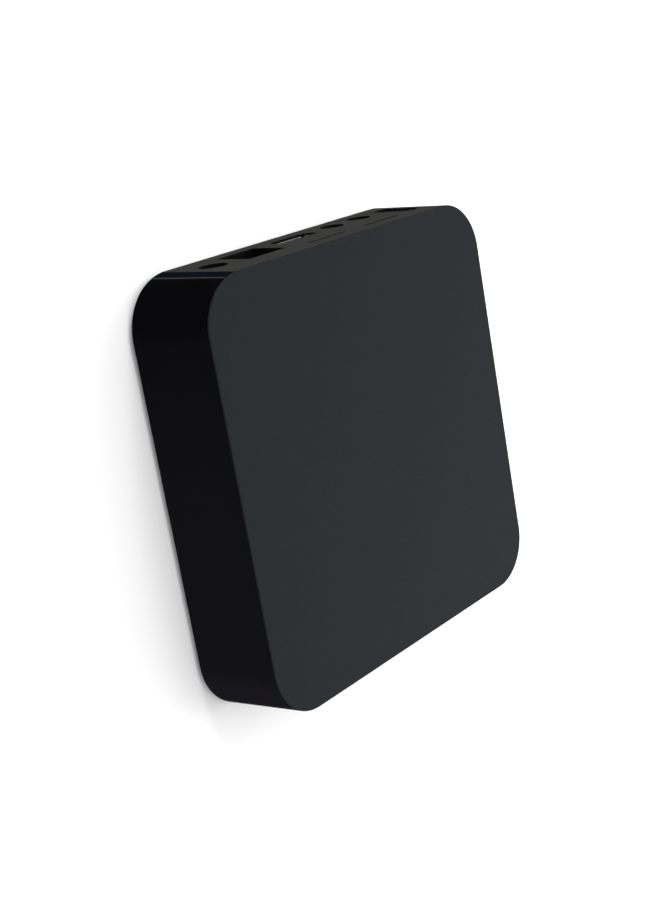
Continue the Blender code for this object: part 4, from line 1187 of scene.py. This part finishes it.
def make_surroundings():
    """Soft white light from all round. Reflections see a dark studio with a pale panel, below the
    horizon only."""
    world = bpy.data.worlds.new("studio")
    bpy.context.scene.world = world
    world.use_nodes = True
    world.node_tree.nodes.clear()
    nodes = Nodes(world.node_tree)

    place = nodes.add("TexCoord").outputs["Generated"]
    parts = nodes.add("SeparateXYZ", Vector=place).outputs
    heading = nodes.calculate("ARCTAN2", parts["Y"], parts["X"])
    ramp = nodes.add("ValToRGB", Fac=nodes.between(heading, -math.pi, math.pi))
    stops = ramp.color_ramp.elements
    for degrees, colour in DARK_STUDIO:
        share = (degrees + 180.0) / 360.0
        at_end = share in (0.0, 1.0)
        stop = stops[-int(share)] if at_end else stops.new(share)
        stop.color = (*colour, 1.0)

    path = nodes.add("LightPath").outputs
    below = nodes.between(parts["Z"], 0.01, -0.01)
    mirrored = nodes.calculate("MULTIPLY", below, path["Is Glossy Ray"])
    light = nodes.blend(mirrored, (SKY, SKY, SKY), ramp.outputs["Color"])
    background = nodes.add("Background", Color=light)
    plain = nodes.add("Background", Color=(1.0, 1.0, 1.0), Strength=BACKDROP)
    choice = nodes.add("MixShader", Fac=path["Is Camera Ray"])
    nodes.connect(background.outputs[0], choice.inputs[1])
    nodes.connect(plain.outputs[0], choice.inputs[2])
    nodes.add("OutputWorld", Surface=choice.outputs[0])


def make_light(name, towards, size, power, mirrored):
    """A square area light, in that direction from the middle of the object."""
    data = bpy.data.lights.new(name, "AREA")
    data.shape = "SQUARE"
    data.size = size
    data.energy = power
    light = new_object(name, data)
    direction = Vector(towards).normalized()
    light.location = direction * LIGHT_DISTANCE
    light.rotation_euler = direction.to_track_quat("Z", "Y").to_euler()
    light.visible_camera = False
    light.visible_glossy = mirrored


def make_camera():
    """Stands behind the left rear edge and looks down on the box, turned so that the rear is up."""
    azimuth, elevation, roll = (math.radians(angle) for angle in (-108.46, 39.95, -92.05))
    distance, target = 432.3, Vector((-6.85, 0.42, 14.0))
    flat = math.cos(elevation)
    back = Vector((math.sin(azimuth) * flat, -math.cos(azimuth) * flat, math.sin(elevation)))
    level = Vector((0.0, 0.0, 1.0)).cross(back).normalized()
    up = back.cross(level) * math.cos(roll) + level * math.sin(roll)
    axes = Matrix((up.cross(back), up, back)).transposed().to_4x4()
    camera = new_object("camera", bpy.data.cameras.new("camera"))
    camera.data.lens = 61.68
    camera.data.sensor_width = 36.0
    camera.data.clip_start = 0.01
    camera.matrix_world = Matrix.Translation((target + back * distance) * MM) @ axes
    bpy.context.scene.camera = camera


make_lid()
make_band()
make_window()
make_port_wall()
make_base()
make_feet()
make_screws()
make_power_socket()
make_network_socket()
make_video_socket()
make_audio_sockets()
make_usb_sockets()
make_card_spring()
make_small_parts()
make_solder_joints()
dress_kept_nodes()

make_floor()
make_surroundings()
for row in LIGHTS:
    make_light(*row)
make_camera()
bpy.context.scene.view_settings.view_transform = "Standard"
